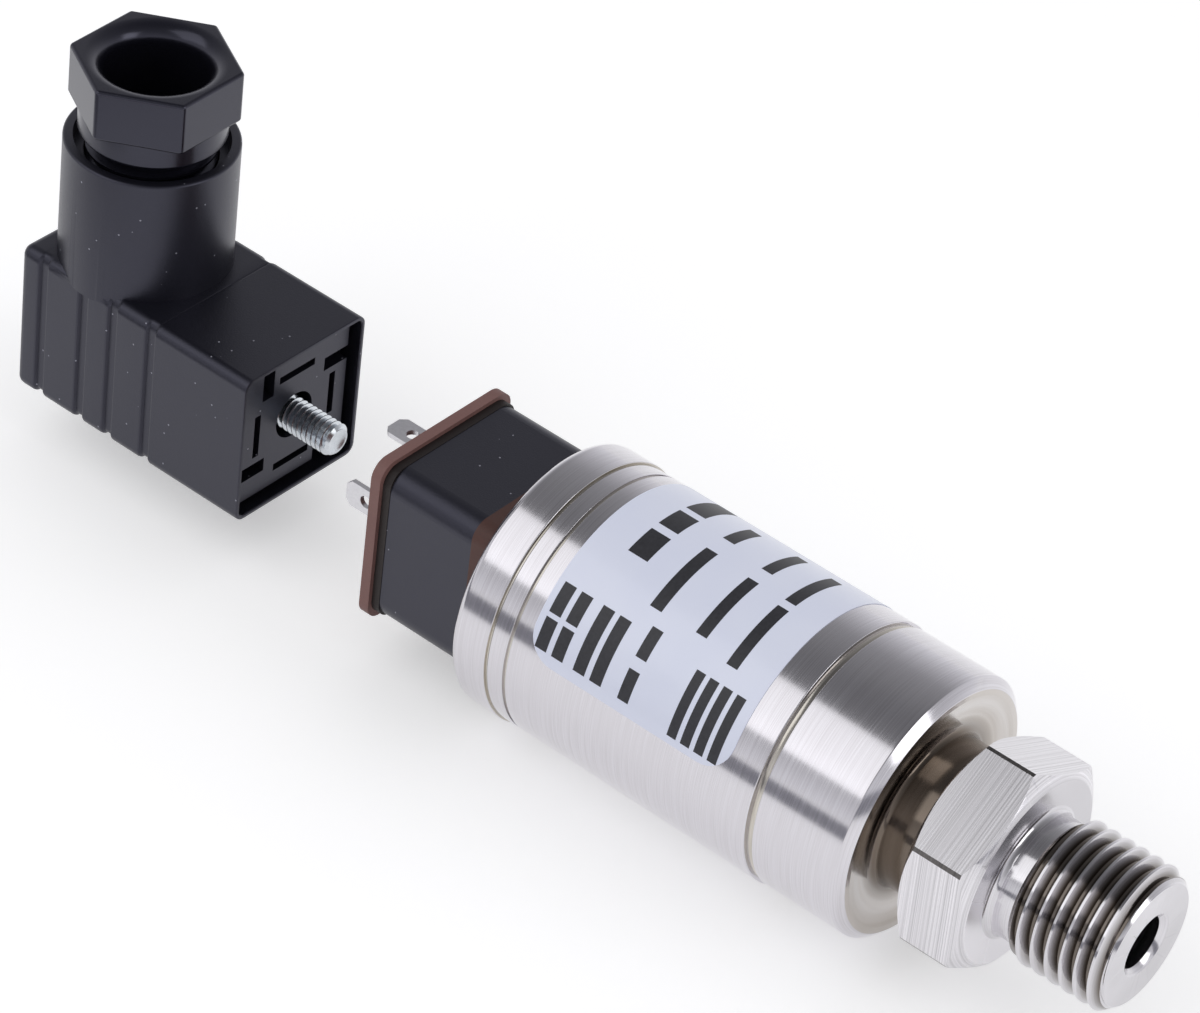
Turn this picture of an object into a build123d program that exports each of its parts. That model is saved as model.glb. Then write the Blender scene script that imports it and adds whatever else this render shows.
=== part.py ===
"""Pressure transmitter with a square pull-off cable plug.

Millimetres. +X runs along the transmitter's axis and out of its process
thread, +Z is the way the plug's cable gland points. The origin is on the
axis, at the sealing face of the hexagon. The plug is drawn pulled off, on
the same axis, and slides along +X onto its base.
"""
from build123d import *
import math
import os

os.makedirs("parts", exist_ok=True)

# Process connection: thread, hexagon, neck and head, turned from one bar
thread_d = 14.0
thread_pitch = 1.5
thread_depth = 0.92
thread_flank_deg = 30.0
thread_len = 12.5
tip_chamfer = 1.0
relief_d = 12.0
relief_len = 2.3
relief_collar = 0.45
face_recess_d = 14.3
face_recess = 0.15
port_d = 6.2
hex_af = 19.0
hex_len = 7.1
hex_corner_d = 21.7
hex_face_chamfer_d = 18.1
hex_turn_deg = 33.4
hex_chamfer_deg = 30.0
neck_d = 15.0
neck_len = 3.4
head_step = 0.15
head_len = 10.3
head_face_step = 0.9
head_face_chamfer = 0.8
head_dish = 0.5
port_depth = 22.0
throttle_d = 1.6
seat_wall = 2.5

# Welded tube body and its rear ring
tube_d = 26.5
tube_wall = 1.25
tube_len = 29.6
seam_width = 0.75
seam_depth = 0.35
rear_groove_back = 1.8
rear_ring_step = 0.2
rear_ring_len = 4.3
rear_plate_t = 2.2
rear_edge_radius = 0.8
wire_opening_d = 13.0
spigot_len = 3.6
spigot_wall = 1.6
fit_gap = 0.05

# Name label, a thin skin round the tube
label_t = 0.08
label_front_gap = 3.2
label_len = 22.6
label_start_deg = -35.0
label_end_deg = 167.0

# Sensor stack behind the port
cell_shoulder = 1.3
cell_t = 6.35
cell_side_gap = 0.2
seal_inset = 1.7
seal_section = 1.4
clamp_ring_t = 3.0
clamp_ring_w = 3.8
clamp_slot_w = 1.6
clamp_slot_depth = 1.2

# Electronics on one long board
board_t = 1.6
board_side_gap = 2.5
board_len = 20.0
board_front_gap = 1.6
holder_t = 2.0
holder_inset = 0.5
holder_side_gap = 0.15
holder_grip = 1.5
chip_t = 1.1
front_row = 6.0
back_row = 11.5
converter_w = 5.0
driver_w = 3.0
driver_len = 4.9
regulator_w = 2.0
regulator_len = 3.0
capacitor_d = 4.0
capacitor_len = 6.0
capacitor_edge_radius = 0.4
capacitor_1_y = 0.5
capacitor_2_y = 5.5
wire_d = 1.0
wire_overlap = 1.2
wire_pitch = 3.0
flex_t = 0.2
flex_w = 6.0
flex_overlap = 1.5

# Square connector base with its two flat seals
base_w = 17.0
base_corner = 2.2
base_len = 10.1
base_cavity_d = 13.2
base_cavity_len = 6.6
base_boss_d = 8.4
base_boss_floor = 0.8
seal_reach = 0.5
seal_corner = 1.8
base_seal_t = 2.2
face_seal_t = 2.0
face_seal_lip_t = 0.9
face_seal_lip_step = 0.45
face_seal_hole_d = 4.4
blade_gap = 0.1
base_screw_d = 2.0
base_screw_head_d = 3.6
base_screw_head_t = 1.3
base_screw_sink = 0.3
base_screw_offset = 6.1
contact_radius = 5.1
blade_t = 0.5
blade_w = 2.8
blade_shift = 0.6
earth_blade_w = 4.0
blade_reach = 5.7
blade_chamfer = 0.6
blade_hole_d = 1.3
blade_hole_back = 2.4
blade_tail = 1.2
insert_nut_d = 5.4
insert_nut_len = 6.0
screw_clear = 0.08

# Cable plug: housing with its upright gland tube
plug_gap = 16.3
plug_w = 16.4
plug_len = 29.2
plug_edge_radius = 1.1
rim_wall = 0.45
rim_depth = 2.4
plug_wall = 0.95
groove_w = 1.2
groove_depth = 0.35
groove_1 = 12.2
groove_2 = 17.1
groove_3 = 20.9
groove_4 = 26.2
rear_wall = 2.0
gland_back_gap = 0.05
gland_step = 0.15
gland_tube_top = 21.3
gland_mouth_wall = 1.05
gland_mouth_depth = 1.6
cable_way_d = 8.4
grommet_seat_z = 9.6

# Contact insert and what it carries
insert_recess = 0.9
insert_gap = 0.25
insert_len = 12.6
insert_hole_d = 4.9
slot_w = 0.8
slot_len = 4.8
slot_wall = 1.4
channel_w = 2.2
leaf_t = 0.4
leaf_gap = 0.15
pocket_w = 1.5
pocket_len = 3.2
pocket_depth = 1.6
pocket_offset = 3.9
terminal_len = 3.2
terminal_w = 2.8
terminal_block_w = 4.4
terminal_screw_gap = 0.2
terminal_screw_d = 1.6
terminal_head_d = 2.8
terminal_head_t = 1.0

# Fixing screw through the plug
screw_d = 3.4
screw_reach = 4.7
screw_tip_chamfer = 0.4
screw_head_d = 6.0
screw_head_t = 2.0
screw_slot_w = 1.0
screw_slot_depth = 0.9
head_recess_depth = 2.8
screw_boss_d = 9.0
screw_boss_wall = 1.2
screw_seal_t = 0.6

# Cable gland: grommet, thrust washer and compression nut
grommet_bore_d = 6.0
grommet_len = 6.0
grommet_side_gap = 0.15
grommet_edge_radius = 0.5
washer_t = 0.8
nut_inset = 1.2
nut_turn_deg = 31.6
nut_edge_chamfer = 0.4
nut_hex_len = 5.4
nut_collar_gap = 0.25
nut_collar_len = 2.3
nut_lift = 1.0
nut_wall = 1.25
nut_flare = 1.6
nut_thread_step = 1.05
nut_thread_len = 4.4
run_gap = 0.1
round_gap = 0.3

# Sizes that follow the tube, the base and the plug
head_d = tube_d - 2 * head_step
head_face_d = head_d - 2 * head_face_step
rear_ring_d = tube_d + 2 * rear_ring_step
tube_bore_d = tube_d - 2 * tube_wall
spigot_d = tube_bore_d - 2 * fit_gap
clamp_thread_d = spigot_d - 2 * (spigot_wall + fit_gap)
clamp_ring_bore = clamp_thread_d - 2 * clamp_ring_w
cell_d = clamp_thread_d - 2 * cell_shoulder
cell_bore_d = cell_d + 2 * cell_side_gap
seal_ring_d = cell_d - 2 * seal_inset
board_w = tube_bore_d - 2 * board_side_gap
holder_bore_d = board_w - 2 * holder_grip
seal_w = base_w + 2 * seal_reach
insert_w = plug_w - 2 * (plug_wall + insert_gap)
gland_tube_d = plug_w + 2 * gland_step
gland_mouth_d = gland_tube_d - 2 * gland_mouth_wall
nut_collar_d = gland_mouth_d - 2 * nut_collar_gap
nut_thread_d = gland_mouth_d - 2 * nut_thread_step
nut_bore_d = nut_thread_d - 2 * nut_wall
nut_af = gland_tube_d - 2 * nut_inset
gland_bore_d = nut_thread_d + 2 * run_gap

# Stations along the axis, each from the one before
tip_x = thread_len
hex_back_x = -hex_len
head_front_x = hex_back_x - neck_len
head_back_x = head_front_x - head_len
tube_back_x = head_back_x - tube_len
ring_back_x = tube_back_x - rear_ring_len
base_back_x = ring_back_x - base_seal_t
base_front_x = base_back_x - base_len
face_seal_x = base_front_x - face_seal_t
blade_tip_x = face_seal_x - blade_reach
plug_front_x = face_seal_x - plug_gap
plug_back_x = plug_front_x - plug_len
gland_x = plug_back_x + gland_tube_d / 2 + gland_back_gap

# Sensor stations
port_floor_x = tip_x - port_depth
cell_seat_x = head_front_x - seat_wall
cell_front_x = cell_seat_x - seal_section
cell_back_x = cell_front_x - cell_t
clamp_back_x = cell_back_x - clamp_ring_t
spigot_back_x = head_back_x - spigot_len
board_front_x = spigot_back_x - board_front_gap
board_back_x = board_front_x - board_len
base_wall_x = base_back_x - base_cavity_len


with BuildPart() as process_connection:
    # Thread as rings of its pitch, with its real depth and flanks, from the tip to the relief
    flank = thread_depth * math.tan(math.radians(thread_flank_deg))
    crest_flat = thread_pitch / 2 - flank
    rings = math.floor((tip_x - tip_chamfer - relief_len) / thread_pitch)
    thread_outline = []
    for ring in range(rings):
        crest_x = tip_x - tip_chamfer - ring * thread_pitch
        thread_outline += [
            (crest_x, thread_d / 2),
            (crest_x - crest_flat, thread_d / 2),
            (crest_x - crest_flat - flank, thread_d / 2 - thread_depth),
            (crest_x - thread_pitch + flank, thread_d / 2 - thread_depth),
        ]
    # Thread, relief, hexagon core, neck and head
    with BuildSketch(Plane.XY):
        with BuildLine():
            Polyline(
                (tip_x, 0),
                (tip_x, thread_d / 2 - tip_chamfer),
                *thread_outline,
                (tip_x - tip_chamfer - rings * thread_pitch, thread_d / 2),
                (relief_len, thread_d / 2),
                (relief_len - (thread_d - relief_d) / 2, relief_d / 2),
                (relief_collar, relief_d / 2),
                (0, relief_d / 2 + relief_collar),
                (-face_recess, relief_d / 2 + relief_collar),
                (-face_recess, neck_d / 2),
                (head_front_x - head_dish, neck_d / 2),
                (head_front_x, head_face_d / 2 - head_dish),
                (head_front_x, head_face_d / 2),
                (head_front_x - head_face_chamfer, head_d / 2),
                (head_back_x + seam_width, head_d / 2),
                (head_back_x + seam_width, head_d / 2 - seam_depth),
                (head_back_x, head_d / 2 - seam_depth),
                (head_back_x, spigot_d / 2),
                (spigot_back_x, spigot_d / 2),
                (spigot_back_x, 0),
                close=True,
            )
        make_face()
    revolve(axis=Axis.X)
    # Hexagon, with its corners turned off and both ends chamfered
    with BuildSketch(Plane.YZ.offset(hex_back_x)):
        RegularPolygon(hex_af / 2, 6, major_radius=False, rotation=hex_turn_deg)
    extrude(amount=hex_len)
    with BuildSketch(Plane.XY):
        corner = hex_corner_d / 2
        face = hex_face_chamfer_d / 2
        cut = (corner - face) * math.tan(math.radians(hex_chamfer_deg))
        with BuildLine():
            Polyline((0, face), (-cut, corner), (0, corner), close=True)
        make_face()
        with BuildLine():
            Polyline(
                (hex_back_x, face), (hex_back_x + cut, corner), (hex_back_x, corner), close=True
            )
        make_face()
        with BuildLine():
            outside = hex_af
            Polyline((0, corner), (0, outside), (hex_back_x, outside), (hex_back_x, corner), close=True)
        make_face()
    revolve(axis=Axis.X, mode=Mode.SUBTRACT)
    # Shallow recess in the sealing face, clear of the thread's crests
    with BuildSketch(Plane.YZ.offset(-face_recess)):
        Circle(face_recess_d / 2)
        Circle(relief_d / 2 + relief_collar, mode=Mode.SUBTRACT)
    extrude(amount=face_recess, mode=Mode.SUBTRACT)
    # Port, throttle, cell seat and the thread of the clamp ring
    with BuildSketch(Plane.XY):
        with BuildLine():
            Polyline(
                (tip_x, 0),
                (tip_x, port_d / 2),
                (port_floor_x, port_d / 2),
                (port_floor_x, throttle_d / 2),
                (cell_seat_x, throttle_d / 2),
                (cell_seat_x, cell_bore_d / 2),
                (cell_back_x, cell_bore_d / 2),
                (cell_back_x, clamp_thread_d / 2 + fit_gap),
                (spigot_back_x, clamp_thread_d / 2 + fit_gap),
                (spigot_back_x, 0),
                close=True,
            )
        make_face()
    revolve(axis=Axis.X, mode=Mode.SUBTRACT)
process_connection.part.label = "process_connection"
export_step(process_connection.part, "parts/process_connection.step")


with BuildPart() as housing_tube:
    with BuildSketch(Plane.YZ.offset(tube_back_x)):
        Circle(tube_d / 2)
        Circle(tube_bore_d / 2, mode=Mode.SUBTRACT)
    extrude(amount=tube_len)
    # Narrow turned groove in front of the rear seam
    with BuildSketch(Plane.YZ.offset(tube_back_x + rear_groove_back)):
        Circle(tube_d / 2)
        Circle(tube_d / 2 - seam_depth, mode=Mode.SUBTRACT)
    extrude(amount=seam_depth, mode=Mode.SUBTRACT)
housing_tube.part.label = "housing_tube"
export_step(housing_tube.part, "parts/housing_tube.step")


with BuildPart() as rear_ring:
    with BuildSketch(Plane.XY):
        with BuildLine():
            Polyline(
                (tube_back_x, spigot_d / 2 - spigot_wall),
                (tube_back_x + spigot_len, spigot_d / 2 - spigot_wall),
                (tube_back_x + spigot_len, spigot_d / 2),
                (tube_back_x, spigot_d / 2),
                (tube_back_x, rear_ring_d / 2 - seam_depth),
                (tube_back_x - seam_depth, rear_ring_d / 2 - seam_depth),
                (tube_back_x - seam_depth, rear_ring_d / 2),
                (ring_back_x, rear_ring_d / 2),
                (ring_back_x, wire_opening_d / 2),
                (ring_back_x + rear_plate_t, wire_opening_d / 2),
                (ring_back_x + rear_plate_t, spigot_d / 2 - spigot_wall),
                close=True,
            )
        make_face()
    revolve(axis=Axis.X)
    outer = rear_ring.edges().filter_by(GeomType.CIRCLE).group_by(Axis.X)[0].sort_by(SortBy.RADIUS)[-1]
    fillet(outer, radius=rear_edge_radius)
    # Tapped holes for the two screws that hold the base
    with BuildSketch(Plane.YZ.offset(ring_back_x)):
        with Locations((base_screw_offset, base_screw_offset), (-base_screw_offset, -base_screw_offset)):
            Circle(base_screw_d / 2 + fit_gap)
    extrude(amount=rear_plate_t, mode=Mode.SUBTRACT)
rear_ring.part.label = "rear_ring"
export_step(rear_ring.part, "parts/rear_ring.step")


with BuildPart() as label:
    # One strip turned part of the way round the tube
    label_front_x = head_back_x - label_front_gap
    with BuildSketch(Plane.XY.rotated((label_start_deg, 0, 0))):
        with Locations((label_front_x - label_len / 2, tube_d / 2 + label_t / 2)):
            Rectangle(label_len, label_t)
    revolve(axis=Axis.X, revolution_arc=label_end_deg - label_start_deg)
label.part.label = "label"
export_step(label.part, "parts/label.step")


with BuildPart() as sensor_seal:
    with BuildSketch(Plane.XY):
        with Locations((cell_seat_x - seal_section / 2, seal_ring_d / 2)):
            Circle(seal_section / 2)
    revolve(axis=Axis.X)
sensor_seal.part.label = "sensor_seal"
export_step(sensor_seal.part, "parts/sensor_seal.step")


with BuildPart() as ceramic_sensor_cell:
    with BuildSketch(Plane.YZ.offset(cell_back_x)):
        Circle(cell_d / 2)
    extrude(amount=cell_t)
ceramic_sensor_cell.part.label = "ceramic_sensor_cell"
export_step(ceramic_sensor_cell.part, "parts/ceramic_sensor_cell.step")


with BuildPart() as sensor_clamp_ring:
    with BuildSketch(Plane.YZ.offset(clamp_back_x)):
        Circle(clamp_thread_d / 2)
        Circle(clamp_ring_bore / 2, mode=Mode.SUBTRACT)
    extrude(amount=clamp_ring_t)
    # Slots for the spanner
    with BuildSketch(Plane.YZ.offset(clamp_back_x)):
        Rectangle(2 * clamp_thread_d, clamp_slot_w)
    extrude(amount=clamp_slot_depth, mode=Mode.SUBTRACT)
sensor_clamp_ring.part.label = "sensor_clamp_ring"
export_step(sensor_clamp_ring.part, "parts/sensor_clamp_ring.step")


with BuildPart() as sensor_flex:
    # Flat strip from the cell's back to the top of the board
    with BuildSketch(Plane.XY.offset(board_t / 2)):
        flex_back_x = board_front_x - flex_overlap
        with Locations(((cell_back_x + flex_back_x) / 2, 0)):
            Rectangle(cell_back_x - flex_back_x, flex_w)
    extrude(amount=flex_t)
sensor_flex.part.label = "sensor_flex"
export_step(sensor_flex.part, "parts/sensor_flex.step")


with BuildPart() as main_circuit_board:
    with BuildSketch(Plane.XY.offset(-board_t / 2)):
        with Locations(((board_front_x + board_back_x) / 2, 0)):
            Rectangle(board_len, board_w)
    extrude(amount=board_t)
main_circuit_board.part.label = "main_circuit_board"
export_step(main_circuit_board.part, "parts/main_circuit_board.step")


with BuildPart() as board_chips:
    # Signal converter, driver and regulator
    with BuildSketch(Plane.XY.offset(board_t / 2)):
        with Locations((board_front_x - front_row, 0)):
            Rectangle(converter_w, converter_w)
        with Locations((board_front_x - back_row, -converter_w)):
            Rectangle(driver_w, driver_len)
        with Locations((board_front_x - front_row, front_row)):
            Rectangle(regulator_w, regulator_len)
    extrude(amount=chip_t)
board_chips.part.label = "board_chips"
export_step(board_chips.part, "parts/board_chips.step")


with BuildPart() as board_capacitors:
    with BuildSketch(Plane.XY.offset(board_t / 2)):
        capacitor_x = board_front_x - back_row
        with Locations((capacitor_x, capacitor_1_y), (capacitor_x, capacitor_2_y)):
            Circle(capacitor_d / 2)
    extrude(amount=capacitor_len)
    tops = board_capacitors.edges().filter_by(GeomType.CIRCLE).group_by(Axis.Z)[-1]
    fillet(tops, radius=capacitor_edge_radius)
board_capacitors.part.label = "board_capacitors"
export_step(board_capacitors.part, "parts/board_capacitors.step")


with BuildPart() as front_board_holder:
    # Plastic ring that the board slides into
    with BuildSketch(Plane.YZ.offset(board_front_x - holder_inset - holder_t)):
        Circle(tube_bore_d / 2 - holder_side_gap)
        Circle(holder_bore_d / 2, mode=Mode.SUBTRACT)
        Rectangle(board_w, board_t, mode=Mode.SUBTRACT)
    extrude(amount=holder_t)
front_board_holder.part.label = "front_board_holder"
export_step(front_board_holder.part, "parts/front_board_holder.step")


with BuildPart() as rear_board_holder:
    with BuildSketch(Plane.YZ.offset(board_back_x + holder_inset)):
        Circle(tube_bore_d / 2 - holder_side_gap)
        Circle(holder_bore_d / 2, mode=Mode.SUBTRACT)
        Rectangle(board_w, board_t, mode=Mode.SUBTRACT)
    extrude(amount=holder_t)
rear_board_holder.part.label = "rear_board_holder"
export_step(rear_board_holder.part, "parts/rear_board_holder.step")


with BuildPart() as signal_wires:
    # Four leads from the board's top to the tails of the contacts
    wire_start_x = board_back_x + wire_overlap
    wire_start_z = board_t / 2 + wire_d / 2
    tail_x = base_wall_x + blade_tail
    for start_y, end_y, end_z in (
        (-1.5 * wire_pitch, -contact_radius, 0),
        (-wire_pitch / 2, 0, -contact_radius),
        (wire_pitch / 2, 0, contact_radius),
        (1.5 * wire_pitch, contact_radius, 0),
    ):
        with BuildLine() as lead:
            Spline(
                (wire_start_x, start_y, wire_start_z),
                (tail_x, end_y, end_z),
                tangents=((-1, 0, 0), (-1, 0, 0)),
            )
        with BuildSketch(Plane.YZ.offset(wire_start_x)):
            with Locations((start_y, wire_start_z)):
                Circle(wire_d / 2)
        sweep(path=lead.line)
signal_wires.part.label = "signal_wires"
export_step(signal_wires.part, "parts/signal_wires.step")


with BuildPart() as base_seal:
    with BuildSketch(Plane.YZ.offset(base_back_x)):
        RectangleRounded(seal_w, seal_w, seal_corner)
        Circle(wire_opening_d / 2, mode=Mode.SUBTRACT)
        with Locations((base_screw_offset, base_screw_offset), (-base_screw_offset, -base_screw_offset)):
            Circle(base_screw_d / 2 + screw_clear, mode=Mode.SUBTRACT)
    extrude(amount=base_seal_t)
base_seal.part.label = "base_seal"
export_step(base_seal.part, "parts/base_seal.step")


with BuildPart() as connector_base:
    with BuildSketch(Plane.YZ.offset(base_front_x)):
        RectangleRounded(base_w, base_w, base_corner)
    extrude(amount=base_len)
    # Wiring hollow behind the front wall, round the boss of the brass insert
    with BuildSketch(Plane.YZ.offset(base_wall_x)):
        Circle(base_cavity_d / 2)
    extrude(amount=base_cavity_len, mode=Mode.SUBTRACT)
    with BuildSketch(Plane.YZ.offset(base_wall_x)):
        Circle(base_boss_d / 2)
    extrude(amount=base_front_x + insert_nut_len + base_boss_floor - base_wall_x)
    with BuildSketch(Plane.YZ.offset(base_front_x)):
        Circle(insert_nut_d / 2)
    extrude(amount=insert_nut_len, mode=Mode.SUBTRACT)
    # Slots of the four contacts
    with BuildSketch(Plane.YZ.offset(base_front_x)):
        with Locations((blade_shift, contact_radius)):
            Rectangle(blade_w, blade_t)
        with Locations((contact_radius, blade_shift), (-contact_radius, blade_shift)):
            Rectangle(blade_t, blade_w)
        with Locations((0, -contact_radius)):
            Rectangle(earth_blade_w, blade_t)
    extrude(amount=base_wall_x - base_front_x, mode=Mode.SUBTRACT)
    # Fixing screws, sunk below the front seal
    with BuildSketch(Plane.YZ.offset(base_front_x)):
        with Locations((base_screw_offset, base_screw_offset), (-base_screw_offset, -base_screw_offset)):
            Circle(base_screw_d / 2 + screw_clear)
    extrude(amount=base_len, mode=Mode.SUBTRACT)
    with BuildSketch(Plane.YZ.offset(base_front_x)):
        with Locations((base_screw_offset, base_screw_offset), (-base_screw_offset, -base_screw_offset)):
            Circle(base_screw_head_d / 2 + screw_clear)
    extrude(amount=base_screw_head_t + base_screw_sink, mode=Mode.SUBTRACT)
connector_base.part.label = "connector_base"
export_step(connector_base.part, "parts/connector_base.step")


with BuildPart() as base_thread_insert:
    with BuildSketch(Plane.YZ.offset(base_front_x)):
        Circle(insert_nut_d / 2)
        Circle(screw_d / 2 + screw_clear, mode=Mode.SUBTRACT)
    extrude(amount=insert_nut_len)
base_thread_insert.part.label = "base_thread_insert"
export_step(base_thread_insert.part, "parts/base_thread_insert.step")


with BuildPart() as contact_blades:
    # The upper contact lies flat, the near and the far one stand up
    with BuildSketch(Plane.XY.offset(contact_radius - blade_t / 2)):
        with Locations(((blade_tip_x + tail_x) / 2, blade_shift)):
            Rectangle(tail_x - blade_tip_x, blade_w)
        with Locations((blade_tip_x + blade_hole_back, blade_shift)):
            Circle(blade_hole_d / 2, mode=Mode.SUBTRACT)
    extrude(amount=blade_t)
    for side in (1, -1):
        with BuildSketch(Plane.XZ.offset(side * contact_radius - blade_t / 2)):
            with Locations(((blade_tip_x + tail_x) / 2, blade_shift)):
                Rectangle(tail_x - blade_tip_x, blade_w)
            with Locations((blade_tip_x + blade_hole_back, blade_shift)):
                Circle(blade_hole_d / 2, mode=Mode.SUBTRACT)
        extrude(amount=blade_t)
    tips = contact_blades.faces().filter_by(Axis.X).sort_by(Axis.X)[:3]
    corners = tips.edges().filter_by(lambda e: e.length < blade_w / 2)
    chamfer(corners, length=blade_chamfer)
contact_blades.part.label = "contact_blades"
export_step(contact_blades.part, "parts/contact_blades.step")


with BuildPart() as earth_blade:
    # The wide lower contact
    with BuildSketch(Plane.XY.offset(-contact_radius - blade_t / 2)):
        with Locations(((blade_tip_x + tail_x) / 2, 0)):
            Rectangle(tail_x - blade_tip_x, earth_blade_w)
        with Locations((blade_tip_x + blade_hole_back, 0)):
            Circle(blade_hole_d / 2, mode=Mode.SUBTRACT)
    extrude(amount=blade_t)
    tip = earth_blade.faces().filter_by(Axis.X).sort_by(Axis.X)[0]
    corners = tip.edges().filter_by(lambda e: e.length < earth_blade_w / 2)
    chamfer(corners, length=blade_chamfer)
earth_blade.part.label = "earth_blade"
export_step(earth_blade.part, "parts/earth_blade.step")


with BuildPart() as base_screws:
    head_seat_x = base_front_x + base_screw_head_t + base_screw_sink
    with BuildSketch(Plane.YZ.offset(head_seat_x)):
        with Locations((base_screw_offset, base_screw_offset), (-base_screw_offset, -base_screw_offset)):
            Circle(base_screw_d / 2)
    extrude(amount=ring_back_x + rear_plate_t - base_screw_sink - head_seat_x)
    with BuildSketch(Plane.YZ.offset(head_seat_x - base_screw_head_t)):
        with Locations((base_screw_offset, base_screw_offset), (-base_screw_offset, -base_screw_offset)):
            Circle(base_screw_head_d / 2)
    extrude(amount=base_screw_head_t)
base_screws.part.label = "base_screws"
export_step(base_screws.part, "parts/base_screws.step")


with BuildPart() as profile_gasket:
    # Full-size face towards the plug, smaller lip towards the base
    with BuildSketch(Plane.YZ.offset(face_seal_x)):
        RectangleRounded(seal_w, seal_w, seal_corner)
    extrude(amount=face_seal_t - face_seal_lip_t)
    with BuildSketch(Plane.YZ.offset(base_front_x - face_seal_lip_t)):
        lip_w = seal_w - 2 * face_seal_lip_step
        RectangleRounded(lip_w, lip_w, seal_corner)
    extrude(amount=face_seal_lip_t)
    with BuildSketch(Plane.YZ.offset(face_seal_x)):
        Circle(face_seal_hole_d / 2)
        with Locations((blade_shift, contact_radius)):
            Rectangle(blade_w + 2 * blade_gap, blade_t + 2 * blade_gap)
        with Locations((contact_radius, blade_shift), (-contact_radius, blade_shift)):
            Rectangle(blade_t + 2 * blade_gap, blade_w + 2 * blade_gap)
        with Locations((0, -contact_radius)):
            Rectangle(earth_blade_w + 2 * blade_gap, blade_t + 2 * blade_gap)
    extrude(amount=face_seal_t, mode=Mode.SUBTRACT)
profile_gasket.part.label = "profile_gasket"
export_step(profile_gasket.part, "parts/profile_gasket.step")


# Heights of the cable gland above the plug's axis
mouth_floor_z = gland_tube_top - gland_mouth_depth
nut_collar_z = gland_tube_top + nut_lift
nut_hex_z = nut_collar_z + nut_collar_len
nut_top_z = nut_hex_z + nut_hex_len
nut_foot_z = nut_collar_z - nut_thread_len
washer_z = nut_foot_z - run_gap - washer_t


with BuildPart() as plug_housing:
    with BuildSketch(Plane.YZ.offset(plug_back_x)):
        RectangleRounded(plug_w, plug_w, plug_edge_radius)
    extrude(amount=plug_len)
    fillet(plug_housing.edges().group_by(Axis.X)[0], radius=plug_edge_radius)
    # Grip grooves across the near side, underneath and up the far side
    for back in (groove_1, groove_2, groove_3, groove_4):
        with BuildSketch(Plane.YZ.offset(plug_front_x - back - groove_w / 2)):
            Rectangle(plug_w, plug_w)
            with Locations((0, groove_depth)):
                RectangleRounded(plug_w - 2 * groove_depth, plug_w, plug_edge_radius, mode=Mode.SUBTRACT)
        extrude(amount=groove_w, mode=Mode.SUBTRACT)
    # Upright tube for the cable
    with BuildSketch(Plane.XY.offset(plug_w / 2 - plug_edge_radius)):
        with Locations((gland_x, 0)):
            Circle(gland_tube_d / 2)
    extrude(amount=gland_tube_top - plug_w / 2 + plug_edge_radius)
    # Rim, insert space and wiring room
    with BuildSketch(Plane.YZ.offset(plug_front_x)):
        Rectangle(plug_w - 2 * rim_wall, plug_w - 2 * rim_wall)
    extrude(amount=-rim_depth, mode=Mode.SUBTRACT)
    with BuildSketch(Plane.YZ.offset(plug_front_x)):
        Rectangle(plug_w - 2 * plug_wall, plug_w - 2 * plug_wall)
    extrude(amount=rear_wall - plug_len, mode=Mode.SUBTRACT)
    # Boss and recess of the fixing screw
    with BuildSketch(Plane.YZ.offset(plug_back_x + rear_wall)):
        Circle(screw_boss_d / 2)
    extrude(amount=head_recess_depth + screw_boss_wall - rear_wall)
    with BuildSketch(Plane.YZ.offset(plug_back_x)):
        Circle(screw_d / 2 + round_gap)
    extrude(amount=head_recess_depth + screw_boss_wall, mode=Mode.SUBTRACT)
    with BuildSketch(Plane.YZ.offset(plug_back_x)):
        Circle(screw_head_d / 2 + round_gap)
    extrude(amount=head_recess_depth, mode=Mode.SUBTRACT)
    # Cable way, gland bore and mouth
    with BuildSketch(Plane.XY):
        with Locations((gland_x, 0)):
            Circle(cable_way_d / 2)
    extrude(amount=gland_tube_top, mode=Mode.SUBTRACT)
    with BuildSketch(Plane.XY.offset(grommet_seat_z)):
        with Locations((gland_x, 0)):
            Circle(gland_bore_d / 2)
    extrude(amount=gland_tube_top - grommet_seat_z, mode=Mode.SUBTRACT)
    with BuildSketch(Plane.XY.offset(mouth_floor_z)):
        with Locations((gland_x, 0)):
            Circle(gland_mouth_d / 2)
    extrude(amount=gland_mouth_depth, mode=Mode.SUBTRACT)
plug_housing.part.label = "plug_housing"
export_step(plug_housing.part, "parts/plug_housing.step")


insert_front_x = plug_front_x - insert_recess
insert_back_x = insert_front_x - insert_len
terminal_front_x = insert_back_x + terminal_len

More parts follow.
